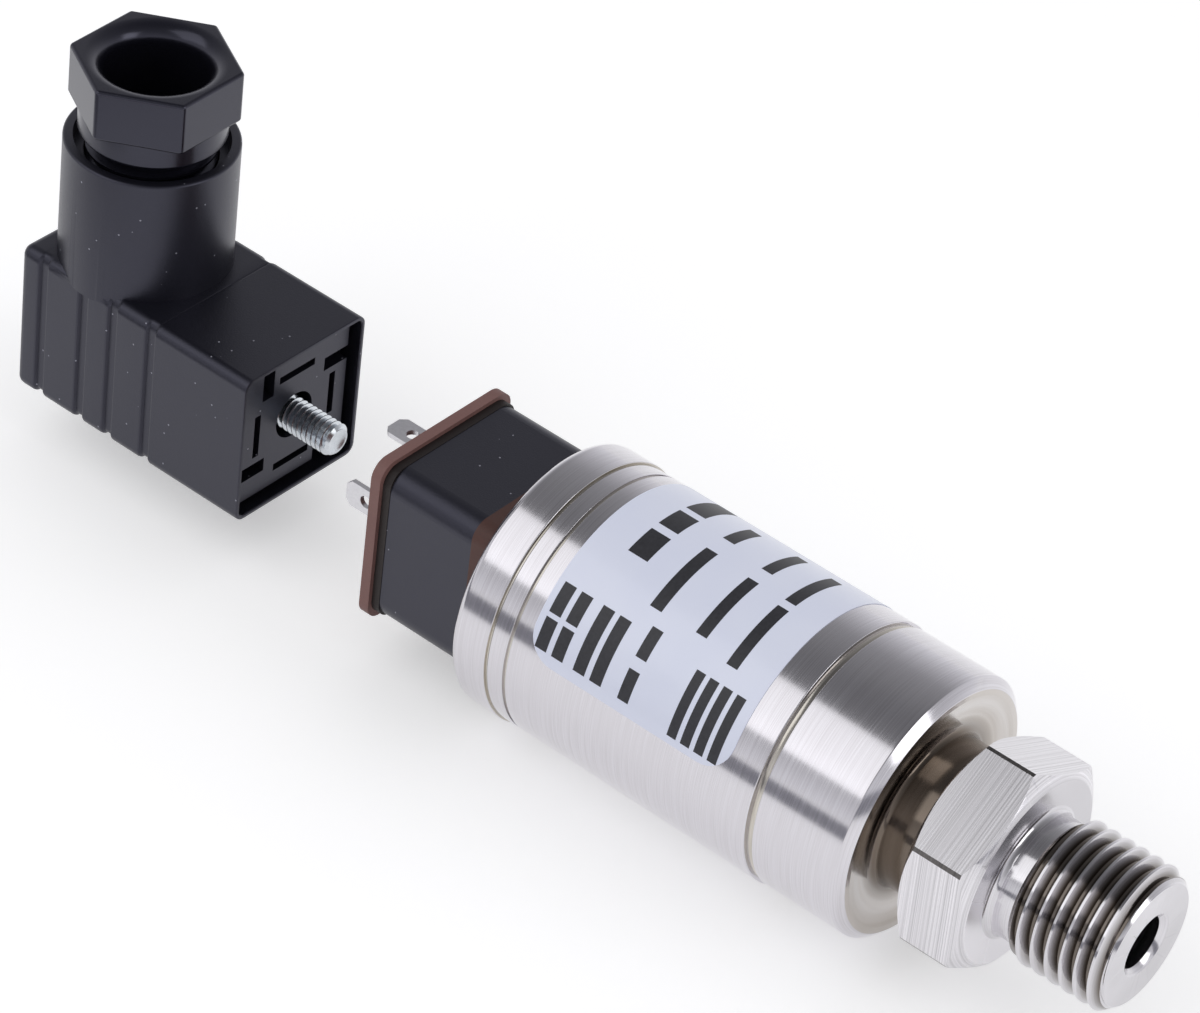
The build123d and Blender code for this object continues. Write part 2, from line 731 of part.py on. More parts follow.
with BuildPart() as contact_insert:
    with BuildSketch(Plane.YZ.offset(insert_back_x)):
        Rectangle(insert_w, insert_w)
        Circle(insert_hole_d / 2, mode=Mode.SUBTRACT)
    extrude(amount=insert_len)
    # Four slots, the channels behind them and the pockets of the terminals
    with BuildSketch(Plane.YZ.offset(insert_back_x)):
        with PolarLocations(contact_radius, 4):
            Rectangle(slot_w, slot_len)
    extrude(amount=insert_len, mode=Mode.SUBTRACT)
    with BuildSketch(Plane.YZ.offset(insert_back_x)):
        with PolarLocations(contact_radius, 4):
            Rectangle(channel_w, slot_len)
    extrude(amount=insert_len - slot_wall, mode=Mode.SUBTRACT)
    with BuildSketch(Plane.YZ.offset(insert_back_x)):
        with PolarLocations(contact_radius, 4):
            Rectangle(terminal_w, slot_len)
    extrude(amount=terminal_len, mode=Mode.SUBTRACT)
    # Open pockets in the face, one beside each slot
    with BuildSketch(Plane.YZ.offset(insert_front_x)):
        with PolarLocations(0, 4):
            with Locations(((insert_w - pocket_len) / 2, pocket_offset)):
                Rectangle(pocket_len, pocket_w)
    extrude(amount=-pocket_depth, mode=Mode.SUBTRACT)
contact_insert.part.label = "contact_insert"
export_step(contact_insert.part, "parts/contact_insert.step")


with BuildPart() as socket_contacts:
    # Two spring leaves on each side of a blade, joined to a terminal block
    leaf_front_x = insert_front_x - slot_wall - leaf_gap
    leaf_centre = blade_t / 2 + leaf_gap + leaf_t / 2
    with BuildSketch(Plane.YZ.offset(terminal_front_x)):
        with PolarLocations(contact_radius, 4):
            with Locations((leaf_centre, 0), (-leaf_centre, 0)):
                Rectangle(leaf_t, blade_w)
    extrude(amount=leaf_front_x - terminal_front_x)
    with BuildSketch(Plane.YZ.offset(insert_back_x + terminal_screw_gap)):
        with PolarLocations(contact_radius, 4):
            Rectangle(terminal_w, terminal_block_w)
            Circle(terminal_screw_d / 2, mode=Mode.SUBTRACT)
    extrude(amount=terminal_len - terminal_screw_gap)
socket_contacts.part.label = "socket_contacts"
export_step(socket_contacts.part, "parts/socket_contacts.step")


with BuildPart() as terminal_screws:
    with BuildSketch(Plane.YZ.offset(insert_back_x + terminal_screw_gap)):
        with PolarLocations(contact_radius, 4):
            Circle(terminal_screw_d / 2)
    extrude(amount=terminal_len - terminal_screw_gap)
    with BuildSketch(Plane.YZ.offset(insert_back_x + terminal_screw_gap)):
        with PolarLocations(contact_radius, 4):
            Circle(terminal_head_d / 2)
    extrude(amount=-terminal_head_t)
terminal_screws.part.label = "terminal_screws"
export_step(terminal_screws.part, "parts/terminal_screws.step")


with BuildPart() as cable_grommet:
    with BuildSketch(Plane.XY.offset(grommet_seat_z)):
        with Locations((gland_x, 0)):
            Circle(gland_bore_d / 2 - grommet_side_gap)
            Circle(grommet_bore_d / 2, mode=Mode.SUBTRACT)
    extrude(amount=grommet_len)
    rims = cable_grommet.edges().filter_by(GeomType.CIRCLE).group_by(SortBy.RADIUS)[-1]
    fillet(rims, radius=grommet_edge_radius)
cable_grommet.part.label = "cable_grommet"
export_step(cable_grommet.part, "parts/cable_grommet.step")


with BuildPart() as screw_seal:
    # Flat ring under the head of the fixing screw
    with BuildSketch(Plane.YZ.offset(plug_back_x + head_recess_depth - screw_seal_t)):
        Circle(screw_head_d / 2 + round_gap)
        Circle(screw_d / 2 + round_gap, mode=Mode.SUBTRACT)
    extrude(amount=screw_seal_t)
screw_seal.part.label = "screw_seal"
export_step(screw_seal.part, "parts/screw_seal.step")


with BuildPart() as fixing_screw:
    screw_tip_x = plug_front_x + screw_reach
    screw_head_x = plug_back_x + head_recess_depth - screw_seal_t - run_gap
    with BuildSketch(Plane.YZ.offset(screw_head_x)):
        Circle(screw_d / 2)
    extrude(amount=screw_tip_x - screw_head_x)
    chamfer(fixing_screw.edges().group_by(Axis.X)[-1], length=screw_tip_chamfer)
    with BuildSketch(Plane.YZ.offset(screw_head_x - screw_head_t)):
        Circle(screw_head_d / 2)
    extrude(amount=screw_head_t)
    with BuildSketch(Plane.YZ.offset(screw_head_x - screw_head_t)):
        Rectangle(2 * screw_head_d, screw_slot_w)
    extrude(amount=screw_slot_depth, mode=Mode.SUBTRACT)
fixing_screw.part.label = "fixing_screw"
export_step(fixing_screw.part, "parts/fixing_screw.step")


with BuildPart() as thrust_washer:
    with BuildSketch(Plane.XY.offset(washer_z)):
        with Locations((gland_x, 0)):
            Circle(gland_bore_d / 2 - round_gap)
            Circle(nut_bore_d / 2, mode=Mode.SUBTRACT)
    extrude(amount=washer_t)
thrust_washer.part.label = "thrust_washer"
export_step(thrust_washer.part, "parts/thrust_washer.step")


with BuildPart() as gland_nut:
    with BuildSketch(Plane.XY.offset(nut_foot_z)):
        with Locations((gland_x, 0)):
            Circle(nut_thread_d / 2)
    extrude(amount=nut_collar_z - nut_foot_z)
    with BuildSketch(Plane.XY.offset(nut_collar_z)):
        with Locations((gland_x, 0)):
            Circle(nut_collar_d / 2)
    extrude(amount=nut_collar_len)
    with BuildSketch(Plane.XY.offset(nut_hex_z)):
        with Locations((gland_x, 0)):
            RegularPolygon(nut_af / 2, 6, major_radius=False, rotation=nut_turn_deg)
    extrude(amount=nut_hex_len)
    chamfer(gland_nut.edges().group_by(Axis.Z)[-1], length=nut_edge_chamfer)
    # Bore with a rounded mouth
    with BuildSketch(Plane.XY.offset(nut_foot_z)):
        with Locations((gland_x, 0)):
            Circle(nut_bore_d / 2)
    extrude(amount=nut_top_z - nut_foot_z, mode=Mode.SUBTRACT)
    mouth = gland_nut.edges().filter_by(GeomType.CIRCLE).group_by(Axis.Z)[-1]
    fillet(mouth, radius=nut_flare)
gland_nut.part.label = "gland_nut"
export_step(gland_nut.part, "parts/gland_nut.step")
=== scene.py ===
"""Pressure transmitter with its cable plug pulled off: the looks, in metres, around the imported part."""
import math

import bmesh
import bpy
from mathutils import Matrix, Vector


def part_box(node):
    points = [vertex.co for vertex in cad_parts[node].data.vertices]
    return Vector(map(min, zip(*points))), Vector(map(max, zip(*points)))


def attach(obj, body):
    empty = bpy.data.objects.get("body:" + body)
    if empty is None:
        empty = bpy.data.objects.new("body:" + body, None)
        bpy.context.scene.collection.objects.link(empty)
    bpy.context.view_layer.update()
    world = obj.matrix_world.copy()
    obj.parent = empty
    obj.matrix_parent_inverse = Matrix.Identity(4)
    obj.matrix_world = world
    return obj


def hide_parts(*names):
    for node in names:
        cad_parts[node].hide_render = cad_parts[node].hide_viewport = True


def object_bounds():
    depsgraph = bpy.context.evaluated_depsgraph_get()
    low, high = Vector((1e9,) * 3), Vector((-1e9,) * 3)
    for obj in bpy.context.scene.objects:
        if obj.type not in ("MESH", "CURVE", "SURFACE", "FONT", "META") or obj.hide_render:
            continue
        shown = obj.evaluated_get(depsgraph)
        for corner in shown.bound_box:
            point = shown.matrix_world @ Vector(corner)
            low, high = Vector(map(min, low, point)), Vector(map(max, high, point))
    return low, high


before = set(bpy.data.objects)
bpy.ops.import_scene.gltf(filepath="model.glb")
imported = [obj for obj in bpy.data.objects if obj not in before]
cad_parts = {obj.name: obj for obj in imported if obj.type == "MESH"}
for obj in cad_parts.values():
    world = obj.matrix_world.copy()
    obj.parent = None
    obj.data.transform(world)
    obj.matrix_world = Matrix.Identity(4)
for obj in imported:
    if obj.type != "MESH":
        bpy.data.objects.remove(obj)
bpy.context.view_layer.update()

# Threaded end of the process connection.
# Turned from stainless bar with the hexagon and the head: an M14 x 1.5 thread with a
# relief behind it, a bored port and a chamfered tip. The cut metal is bright.
MM = 0.001
thread_crest = 7.0
thread_root = 6.08
thread_pitch = 1.5
thread_flank_deg = 30
thread_foot = 2.3
relief_radius = 6.0
relief_foot_radius = 6.6
port_radius = 3.1
port_edge = 0.1
bore_radius = 2.6
countersink_depth = 0.6
bore_end_depth = 1.4
stem_back = -1.0


def span(node):
    """Lowest and highest corner of a CAD node at rest, in millimetres."""
    low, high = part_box(node)
    return low / MM, high / MM


def softened(outline, steps=4):
    """Rounds each corner (x, r, radius) of a closed outline with a short arc."""
    points = []
    for i, (x, r, radius) in enumerate(outline):
        corner = Vector((x, r))
        if not radius:
            points.append(corner)
            continue
        to_last = (Vector(outline[i - 1][:2]) - corner).normalized()
        to_next = (Vector(outline[(i + 1) % len(outline)][:2]) - corner).normalized()
        half = to_last.angle(to_next) / 2
        centre = corner + (to_last + to_next).normalized() * radius / math.sin(half)
        start = corner + to_last * radius / math.tan(half) - centre
        end = corner + to_next * radius / math.tan(half) - centre
        for k in range(steps + 1):
            points.append(centre + start.lerp(end, k / steps).normalized() * radius)
    return points


def turned(bm, outline, sides=160):
    """Spins a closed outline of (x, r, corner radius) round the X axis."""
    verts = [bm.verts.new((p.x, p.y, 0)) for p in softened(outline)]
    edges = [bm.edges.new((verts[i - 1], verts[i])) for i in range(len(verts))]
    bmesh.ops.spin(
        bm, geom=verts + edges, cent=(0, 0, 0), axis=(1, 0, 0), angle=math.tau, steps=sides, use_merge=True
    )


def run_loop(bm, edges, stations):
    """Carries a round loop of edges on through (x, radius) stations."""
    for x, radius in stations:
        grown = bmesh.ops.extrude_edge_only(bm, edges=edges)["geom"]
        verts = {g for g in grown if isinstance(g, bmesh.types.BMVert)}
        edges = [g for g in grown if isinstance(g, bmesh.types.BMEdge) and set(g.verts) <= verts]
        for v in verts:
            scale = radius / math.hypot(v.co.y, v.co.z)
            v.co = (x, v.co.y * scale, v.co.z * scale)
    return edges


def threaded(bm, crest, root, pitch, foot, tip, foot_end, tip_end, sides=96):
    """A right-hand thread along X with a chamfer at each end; returns its foot and tip edges."""
    flank = (crest - root) * math.tan(math.radians(thread_flank_deg))
    flat = (pitch - 2 * flank) / 2
    stations = [(0, root), (flat, root), (flat + flank, crest), (2 * flat + flank, crest), (pitch, root)]
    verts = [bm.verts.new((foot - 2 * pitch + x, r, 0)) for x, r in stations]
    edges = [bm.edges.new(pair) for pair in zip(verts, verts[1:])]
    bmesh.ops.subdivide_edges(bm, edges=edges, cuts=4)
    turns = math.ceil((tip - foot) / pitch) + 3
    bmesh.ops.spin(
        bm,
        geom=bm.verts[:] + bm.edges[:],
        cent=(0, 0, 0),
        axis=(1, 0, 0),
        dvec=(pitch / sides, 0, 0),
        angle=math.tau * turns,
        steps=turns * sides,
    )
    bmesh.ops.remove_doubles(bm, verts=bm.verts, dist=0.001)
    for x, normal in ((tip, (1, 0, 0)), (foot, (-1, 0, 0))):
        geom = bm.verts[:] + bm.edges[:] + bm.faces[:]
        bmesh.ops.bisect_plane(
            bm, geom=geom, dist=0.0001, plane_co=(x, 0, 0), plane_no=normal, clear_outer=True
        )
    for v in bm.verts:
        radius = math.hypot(v.co.y, v.co.z)
        limit = min(radius, tip_end + tip - v.co.x, foot_end + v.co.x - foot)
        v.co.y *= limit / radius
        v.co.z *= limit / radius
    rims = [e for e in bm.edges if e.is_boundary]
    middle = (foot + tip) / 2
    foot_rim = [e for e in rims if e.verts[0].co.x < middle]
    tip_rim = [e for e in rims if e.verts[0].co.x > middle]
    return foot_rim, tip_rim


def finish_piece(bm, name, body, materials, replaced=(), smooth=32):
    """Turns a mesh in millimetres into a finished piece that rides on its body."""
    bmesh.ops.remove_doubles(bm, verts=bm.verts, dist=0.0005)
    bmesh.ops.recalc_face_normals(bm, faces=bm.faces)
    bmesh.ops.scale(bm, vec=(MM, MM, MM), verts=bm.verts)
    mesh = bpy.data.meshes.new(name)
    bm.to_mesh(mesh)
    bm.free()
    mesh.shade_smooth()
    mesh.set_sharp_from_angle(angle=math.radians(smooth))
    for material in materials:
        mesh.materials.append(material)
    piece = bpy.data.objects.new(name, mesh)
    bpy.context.scene.collection.objects.link(piece)
    shading = piece.modifiers.new("even_shading", "WEIGHTED_NORMAL")
    shading.keep_sharp = True
    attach(piece, body)
    if replaced:
        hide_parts(*replaced)
    return piece


def linear(code):
    """Turns an sRGB hex colour into Blender's linear one."""
    channels = [int(code[i:i + 2], 16) / 255 for i in (1, 3, 5)]
    return [c / 12.92 if c <= 0.04045 else ((c + 0.055) / 1.055) ** 2.4 for c in channels] + [1.0]


def add_node(tree, kind, settings=None, links=None):
    """Adds a node, sets its properties or inputs by name, and links its inputs to sockets."""
    node = tree.nodes.new(kind)
    for key, value in (settings or {}).items():
        if isinstance(key, str) and hasattr(node, key):
            setattr(node, key, value)
        else:
            node.inputs[key].default_value = value
    for key, socket in (links or {}).items():
        tree.links.new(socket, node.inputs[key])
    return node


def new_material(name, settings):
    """A material with its shader's constants set, and the Object coordinates to build on."""
    material = bpy.data.materials.new(name)
    material.use_nodes = True
    tree = material.node_tree
    shader = tree.nodes["Principled BSDF"]
    for key, value in settings.items():
        shader.inputs[key].default_value = value
    place = add_node(tree, "ShaderNodeTexCoord").outputs["Object"]
    return material, tree, shader, place


def shaded_between(tree, factor, low, high):
    """A colour between two hex colours, by a factor from 0 to 1."""
    mix = add_node(tree, "ShaderNodeMix", {"data_type": "RGBA"}, {"Factor": factor})
    mix.inputs[6].default_value = linear(low)
    mix.inputs[7].default_value = linear(high)
    return mix.outputs[2]


def surfaced(tree, shader, factor, smooth, rough, height, depth_mm):
    """Varies a shader's roughness by a factor from 0 to 1, and bumps it by a height pattern."""
    gloss = add_node(tree, "ShaderNodeMapRange", {"To Min": smooth, "To Max": rough}, {"Value": factor})
    tree.links.new(gloss.outputs[0], shader.inputs["Roughness"])
    bump = add_node(tree, "ShaderNodeBump", {"Strength": 1.0, "Distance": depth_mm * MM}, {"Height": height})
    tree.links.new(bump.outputs[0], shader.inputs["Normal"])


def overlaid(material, share, code):
    """Lays a plain colour over a material's own, by a share from 0 to 1."""
    tree = material.node_tree
    base = tree.nodes["Principled BSDF"].inputs["Base Color"]
    mix = add_node(
        tree, "ShaderNodeMix", {"data_type": "RGBA"}, {"Factor": share, 6: base.links[0].from_socket}
    )
    mix.inputs[7].default_value = linear(code)
    tree.links.new(mix.outputs[2], base)


def turned_steel(name, low, high, ring_mm, mark_mm, smooth, rough, depth_mm):
    """Stainless steel with fine tool marks round the X axis, as a lathe or a belt leaves them."""
    material, tree, shader, place = new_material(name, {"Metallic": 1.0})
    ring = 1 / (ring_mm * MM)
    mark = 1 / (mark_mm * MM)
    along = add_node(tree, "ShaderNodeMapping", {"Scale": (ring, mark, mark)}, {"Vector": place})
    marks = add_node(tree, "ShaderNodeTexNoise", {"Scale": 1.0, "Detail": 3.0}, {"Vector": along.outputs[0]})
    steps = add_node(
        tree, "ShaderNodeMapRange", {"From Min": 0.3, "From Max": 0.7, "To Min": 0.0, "To Max": 1.0},
        {"Value": marks.outputs[0]},
    ).outputs[0]
    tree.links.new(shaded_between(tree, steps, low, high), shader.inputs["Base Color"])
    surfaced(tree, shader, steps, smooth, rough, marks.outputs[0], depth_mm)
    return material


def painted_shade_by_radius(material, unshaded_mm, shaded_mm, shade, middle_mm, reach_mm):
    """Paints shade on a turned piece: darker from one radius to another round a station."""
    tree = material.node_tree
    place = add_node(tree, "ShaderNodeTexCoord").outputs["Object"]
    across = add_node(tree, "ShaderNodeVectorMath", {"operation": "MULTIPLY", 1: (0, 1, 1)}, {0: place})
    radius = add_node(tree, "ShaderNodeVectorMath", {"operation": "LENGTH"}, {0: across.outputs[0]})
    amount = add_node(
        tree, "ShaderNodeMapRange", {"From Min": unshaded_mm * MM, "From Max": shaded_mm * MM},
        {"Value": radius.outputs["Value"]},
    )
    along = add_node(tree, "ShaderNodeSeparateXYZ", links={"Vector": place}).outputs["X"]
    within = add_node(
        tree, "ShaderNodeMath", {"operation": "COMPARE", 1: middle_mm * MM, 2: reach_mm * MM}, {0: along}
    )
    share = add_node(
        tree, "ShaderNodeMath", {"operation": "MULTIPLY"}, {0: amount.outputs[0], 1: within.outputs[0]}
    )
    overlaid(material, share.outputs[0], shade)


# Stainless steel 1.4404 as the cutting tool left it: bright, with close fine rings. The thread's
# copy has painted shade that darkens the root of the thread.
cut_steel = turned_steel("cut_stainless_steel", "#c9c7ca", "#dad8dc", 0.10, 8.0, 0.10, 0.18, 0.0006)
thread_steel_painted_shade = turned_steel("cut_stainless_steel_painted_root_shade", "#c9c7ca", "#dad8dc", 0.10, 8.0, 0.10, 0.18, 0.0006)
# Painted shade in the roots of the thread, from 6.95 to 6.2 mm radius.
painted_shade_by_radius(thread_steel_painted_shade, 6.95, 6.2, "#6b645e", 7.1, 5.0)

head_low, head_high = span("process_connection")
thread_tip = head_high.x

bm = bmesh.new()
foot_rim, tip_rim = threaded(
    bm, thread_crest, thread_root, thread_pitch, thread_foot, thread_tip, relief_radius, relief_radius
)
# The relief runs out to the hexagon's face in a fillet.
relief = run_loop(
    bm,
    foot_rim,
    [(0.75, relief_radius), (0.45, 6.04), (0.2, 6.18), (0.05, 6.4), (0.0, relief_foot_radius),
     (stem_back, relief_foot_radius)],
)
# The countersink at the port's mouth leads to a short narrower bore.
bore = run_loop(
    bm,
    tip_rim,
    [(thread_tip, port_radius + port_edge), (thread_tip - port_edge / 2, port_radius),
     (thread_tip - countersink_depth, bore_radius), (thread_tip - bore_end_depth, bore_radius),
     (thread_tip - bore_end_depth - 0.4, port_radius), (stem_back, port_radius)],
)
bmesh.ops.bridge_loops(bm, edges=relief + bore)
for face in bm.faces:
    middle = face.calc_center_median()
    if math.hypot(middle.y, middle.z) > relief_radius + 0.01:
        face.material_index = 1
finish_piece(
    bm, "threaded_stem", "transmitter", [cut_steel, thread_steel_painted_shade],
    ["process_connection"],
)


# Hexagon of the process connection.
# The 19 mm flats are milled across, the corners are turned off and both ends have a 30 degree
# chamfer. The flats carry fine streaks that run round the axis, the corners are narrow bands with a
# painted dark reflection.
hex_flats = 19.0
hex_back = -7.1
hex_corner = 10.85
hex_face = 9.05
hex_chamfer_deg = 30
hex_first_corner_deg = 33.4
hex_hole = 5.0
edge_break = 0.03
corner_band = 0.04


def boolean(bm, cutter, operation):
    """Joins, cuts or intersects one closed mesh with another, exactly."""
    pair = []
    for source in (bm, cutter):
        bmesh.ops.remove_doubles(source, verts=source.verts, dist=0.0005)
        bmesh.ops.recalc_face_normals(source, faces=source.faces)
        mesh = bpy.data.meshes.new("work")
        source.to_mesh(mesh)
        source.free()
        work = bpy.data.objects.new("work", mesh)
        bpy.context.scene.collection.objects.link(work)
        pair.append(work)
    change = pair[0].modifiers.new("change", "BOOLEAN")
    change.operation = operation
    change.object = pair[1]
    change.solver = "EXACT"
    graph = bpy.context.evaluated_depsgraph_get()
    result = bmesh.new()
    result.from_object(pair[0], graph)
    for work in pair:
        mesh = work.data
        bpy.data.objects.remove(work)
        bpy.data.meshes.remove(mesh)
    return result


def break_edges(bm, width, segments=2, angle=25):
    """Rounds the edges that turn by more than an angle."""
    bm.normal_update()
    sharp = [
        e for e in bm.edges if len(e.link_faces) == 2 and e.calc_face_angle() > math.radians(angle)
    ]
    bmesh.ops.bevel(
        bm, geom=sharp, offset=width, affect="EDGES", segments=segments, profile=0.5, material=-1,
        clamp_overlap=True,
    )


def hexagon(bm, flats, first_corner_deg, low, high):
    """A hexagonal prism along X."""
    made = bmesh.ops.create_circle(
        bm, cap_ends=True, segments=6, radius=flats / 2 / math.cos(math.radians(30)),
        matrix=Matrix.Translation((low, 0, 0))
        @ Matrix.Rotation(math.radians(first_corner_deg), 4, "X")
        @ Matrix.Rotation(math.radians(90), 4, "Y"),
    )
    grown = bmesh.ops.extrude_face_region(bm, geom=[made["verts"][0].link_faces[0]])["geom"]
    top = [g for g in grown if isinstance(g, bmesh.types.BMVert)]
    bmesh.ops.translate(bm, vec=(high - low, 0, 0), verts=top)


# Milled stainless steel: nearly white, with grey streaks left across the flats.
milled_steel = turned_steel("milled_stainless_steel", "#bdbbbe", "#f4f2f6", 0.14, 60.0, 0.20, 0.30, 0.0005)
# Turned corners of the hexagon: narrow bands with tool marks and a painted dark reflection.
corner_steel_painted_dark = turned_steel(
    "turned_stainless_steel_painted_dark", "#5e5b5a", "#7d7a78", 0.10, 8.0, 0.14, 0.24, 0.0006
)

bm = bmesh.new()
hexagon(bm, hex_flats, hex_first_corner_deg, hex_back, 0)
envelope = bmesh.new()
fall = (hex_corner - hex_face) * math.tan(math.radians(hex_chamfer_deg))
turned(
    envelope,
    [(0, hex_hole, 0), (0, hex_face, 0), (-fall, hex_corner, 0), (hex_back + fall, hex_corner, 0),
     (hex_back, hex_face, 0), (hex_back, hex_hole, 0)],
)
bm = boolean(bm, envelope, "INTERSECT")
break_edges(bm, edge_break)
# The corner bands take the steel painted dark as a reflection.
for face in bm.faces:
    middle = face.calc_center_median()
    if math.hypot(middle.y, middle.z) > hex_corner - corner_band:
        face.material_index = 1
finish_piece(
    bm, "hexagon", "transmitter", [milled_steel, corner_steel_painted_dark],
    ["process_connection"], smooth=20,
)


# Neck and front head of the process connection.
# A short turned neck leads to the head, whose dished front face shows the lathe's rings. The
# outside is brushed like the tube, and a groove marks the laser weld behind it.
neck_radius = 7.5
neck_end = -10.5
neck_fillet = 0.7
face_dish = 0.9
face_rim = 0.6
face_radius = 12.2
front_chamfer = 0.8
head_radius = head_high.z
head_back = -20.8
seam_width = 0.75
seam_depth = 0.22
tube_low, tube_high = span("housing_tube")
spigot_radius = 11.95
clamp_bore_radius = 10.35
cell_seat_radius = 9.2
cell_low = span("ceramic_sensor_cell")[0]
cavity_end = -13.0
throttle_radius = 0.8
port_end = -9.5

# Stainless steel brushed with a belt: satin, with warm grey and light streaks.
brushed_steel = turned_steel("brushed_stainless_steel", "#c9c6ca", "#dbd9de", 0.06, 12.0, 0.12, 0.19, 0.0008)
# Stainless steel faced on the lathe: warm, with rings round the axis, and painted shade darkening it towards
# the neck.
faced_steel = turned_steel("faced_stainless_steel", "#bfb8b1", "#d8d4d1", 0.28, 30.0, 0.10, 0.20, 0.0008)
# Painted shade round the neck, from 9.4 to 7.7 mm radius.
painted_shade_by_radius(faced_steel, 9.4, 7.7, "#6e645b", -9.0, 4.0)
# Weld seam in the grooves: smooth steel with a trace of straw-coloured oxide.
tinted_steel = turned_steel(
    "heat_tinted_stainless_steel", "#b3ada3", "#cfcac2", 0.20, 5.0, 0.16, 0.24, 0.0004
)
# Depths of the weld bead below the head, across the seam.
bead = (seam_depth, 0.17, 0.14, 0.12, 0.14, 0.17, seam_depth)

bm = bmesh.new()
turned(
    bm,
    [(stem_back, port_radius, 0), (stem_back, neck_radius, 0),
     (neck_end - face_dish, neck_radius, neck_fillet), (neck_end, face_radius - face_rim, 0.3),
     (neck_end, face_radius, 0.1), (neck_end - front_chamfer, head_radius, 0.12),
     (head_back + seam_width, head_radius, 0.08),
     *((head_back + seam_width * (1 - k / 6), head_radius - depth, 0) for k, depth in enumerate(bead)),
     (head_back, spigot_radius, 0), (head_low.x, spigot_radius, 0), (head_low.x, clamp_bore_radius, 0),
     (cell_low.x, clamp_bore_radius, 0), (cell_low.x, cell_seat_radius, 0),
     (cavity_end, cell_seat_radius, 0), (cavity_end, throttle_radius, 0),
     (port_end, throttle_radius, 0), (port_end, port_radius, 0)],
    sides=200,
)
for face in bm.faces:
    middle = face.calc_center_median()
    radius = math.hypot(middle.y, middle.z)
    if middle.x > neck_end - face_dish - 0.3 and radius < face_radius - 0.05:
        face.material_index = 1
    elif head_back - 0.01 < middle.x < head_back + seam_width and radius > spigot_radius + 0.1:
        face.material_index = 2 if radius < head_radius - 0.1 else 0
finish_piece(
    bm, "front_head", "transmitter", [brushed_steel, faced_steel, tinted_steel],
    ["process_connection"],
)


# Tube of the housing.
# Drawn stainless tube, pushed over the spigots of the head and the rear ring and welded all
# round. A narrow groove is turned near its rear end.
tube_wall = 1.25
groove_back = 1.8
groove_width = 0.35

bm = bmesh.new()
groove = tube_low.x + groove_back
turned(
    bm,
    [(tube_low.x, tube_high.z - tube_wall, 0), (tube_low.x, tube_high.z, 0.08),
     (groove, tube_high.z, 0.05), (groove, tube_high.z - seam_depth, 0),
     (groove + groove_width, tube_high.z - seam_depth, 0), (groove + groove_width, tube_high.z, 0.05),
     (tube_high.x, tube_high.z, 0.1), (tube_high.x, tube_high.z - tube_wall, 0)],
    sides=200,
)
for face in bm.faces:
    if groove < face.calc_center_median().x < groove + groove_width:
        face.material_index = 1
finish_piece(
    bm, "tube", "transmitter", [brushed_steel, tinted_steel], ["housing_tube"]
)


# Rear ring.
# Turned from stainless bar: a plate with a hole for the wires, a rounded rear edge and a spigot
# inside the tube. Two tapped holes take the screws of the connector base.
ring_low, ring_high = span("rear_ring")
ring_edge_radius = 0.8
ring_wall = 1.6
plate_thickness = 2.2
wire_hole = 6.5
tapped_place = 6.1
tapped_radius = 1.05

bm = bmesh.new()
turned(
    bm,
    [(ring_high.x, spigot_radius - ring_wall, 0), (ring_high.x, spigot_radius, 0),
     (tube_low.x, spigot_radius, 0), (tube_low.x, ring_high.z - seam_depth, 0),
     (tube_low.x - seam_depth, ring_high.z - seam_depth, 0), (tube_low.x - seam_depth, ring_high.z, 0.08),
     (ring_low.x, ring_high.z, ring_edge_radius), (ring_low.x, wire_hole, 0.2),
     (ring_low.x + plate_thickness, wire_hole, 0),
     (ring_low.x + plate_thickness, spigot_radius - ring_wall, 0)],
    sides=200,
)
for face in bm.faces:
    if face.calc_center_median().x > tube_low.x - seam_depth - 0.01:
        face.material_index = 1
for side in (1, -1):
    drill = bmesh.new()
    place = Vector((ring_low.x + plate_thickness / 2, side * tapped_place, side * tapped_place))
    bmesh.ops.create_cone(
        drill, cap_ends=True, segments=32, radius1=tapped_radius, radius2=tapped_radius,
        depth=2 * plate_thickness,
        matrix=Matrix.Translation(place) @ Matrix.Rotation(math.radians(90), 4, "Y"),
    )
    bm = boolean(bm, drill, "DIFFERENCE")
finish_piece(
    bm, "rear_ring_turned", "transmitter", [brushed_steel, tinted_steel],
    ["rear_ring"],
)


# Name label.
# White polyester film with rounded corners, stuck round the tube. Plain grey and black bars and
# blocks stand in the places of its print.
label_low, label_high = span("label")
label_radius = tube_high.z
film_thickness = 0.06
label_corner = 3.0
label_start_deg = -35.0
label_end_deg = 167.0


def wrapped(bm, x_low, x_high, start_deg, end_deg, corner, base, thickness):
    """A patch with round corners, wrapped round the tube."""
    arc = math.radians(end_deg - start_deg) * base
    made = bmesh.ops.create_grid(bm, x_segments=1, y_segments=1, size=0.5)["verts"]
    bmesh.ops.scale(bm, vec=(x_high - x_low, arc, 1), verts=made)
    if corner:
        made = bmesh.ops.bevel(
            bm, geom=made, offset=corner, affect="VERTICES", segments=8, profile=0.5, material=-1
        )["verts"]
    faces = list({f for v in made for f in v.link_faces})
    cuts = math.ceil((end_deg - start_deg) / 2)
    for k in range(1, cuts):
        near = [f for f in faces if f.is_valid]
        geom = list({g for f in near for g in (*f.verts, *f.edges, f)})
        cut = bmesh.ops.bisect_plane(
            bm, geom=geom, dist=0.0001, plane_co=(0, arc * (k / cuts - 0.5), 0), plane_no=(0, 1, 0)
        )
        faces = [g for g in cut["geom"] if isinstance(g, bmesh.types.BMFace)]
    grown = bmesh.ops.extrude_face_region(bm, geom=faces)["geom"]
    top = {g for g in grown if isinstance(g, bmesh.types.BMVert)}
    patch = {v for f in faces if f.is_valid for v in f.verts} | top
    for v in patch:
        angle = math.radians((start_deg + end_deg) / 2) + v.co.y / base
        radius = base + thickness if v in top else base
        v.co = ((x_low + x_high) / 2 + v.co.x, radius * math.cos(angle), radius * math.sin(angle))
    return patch


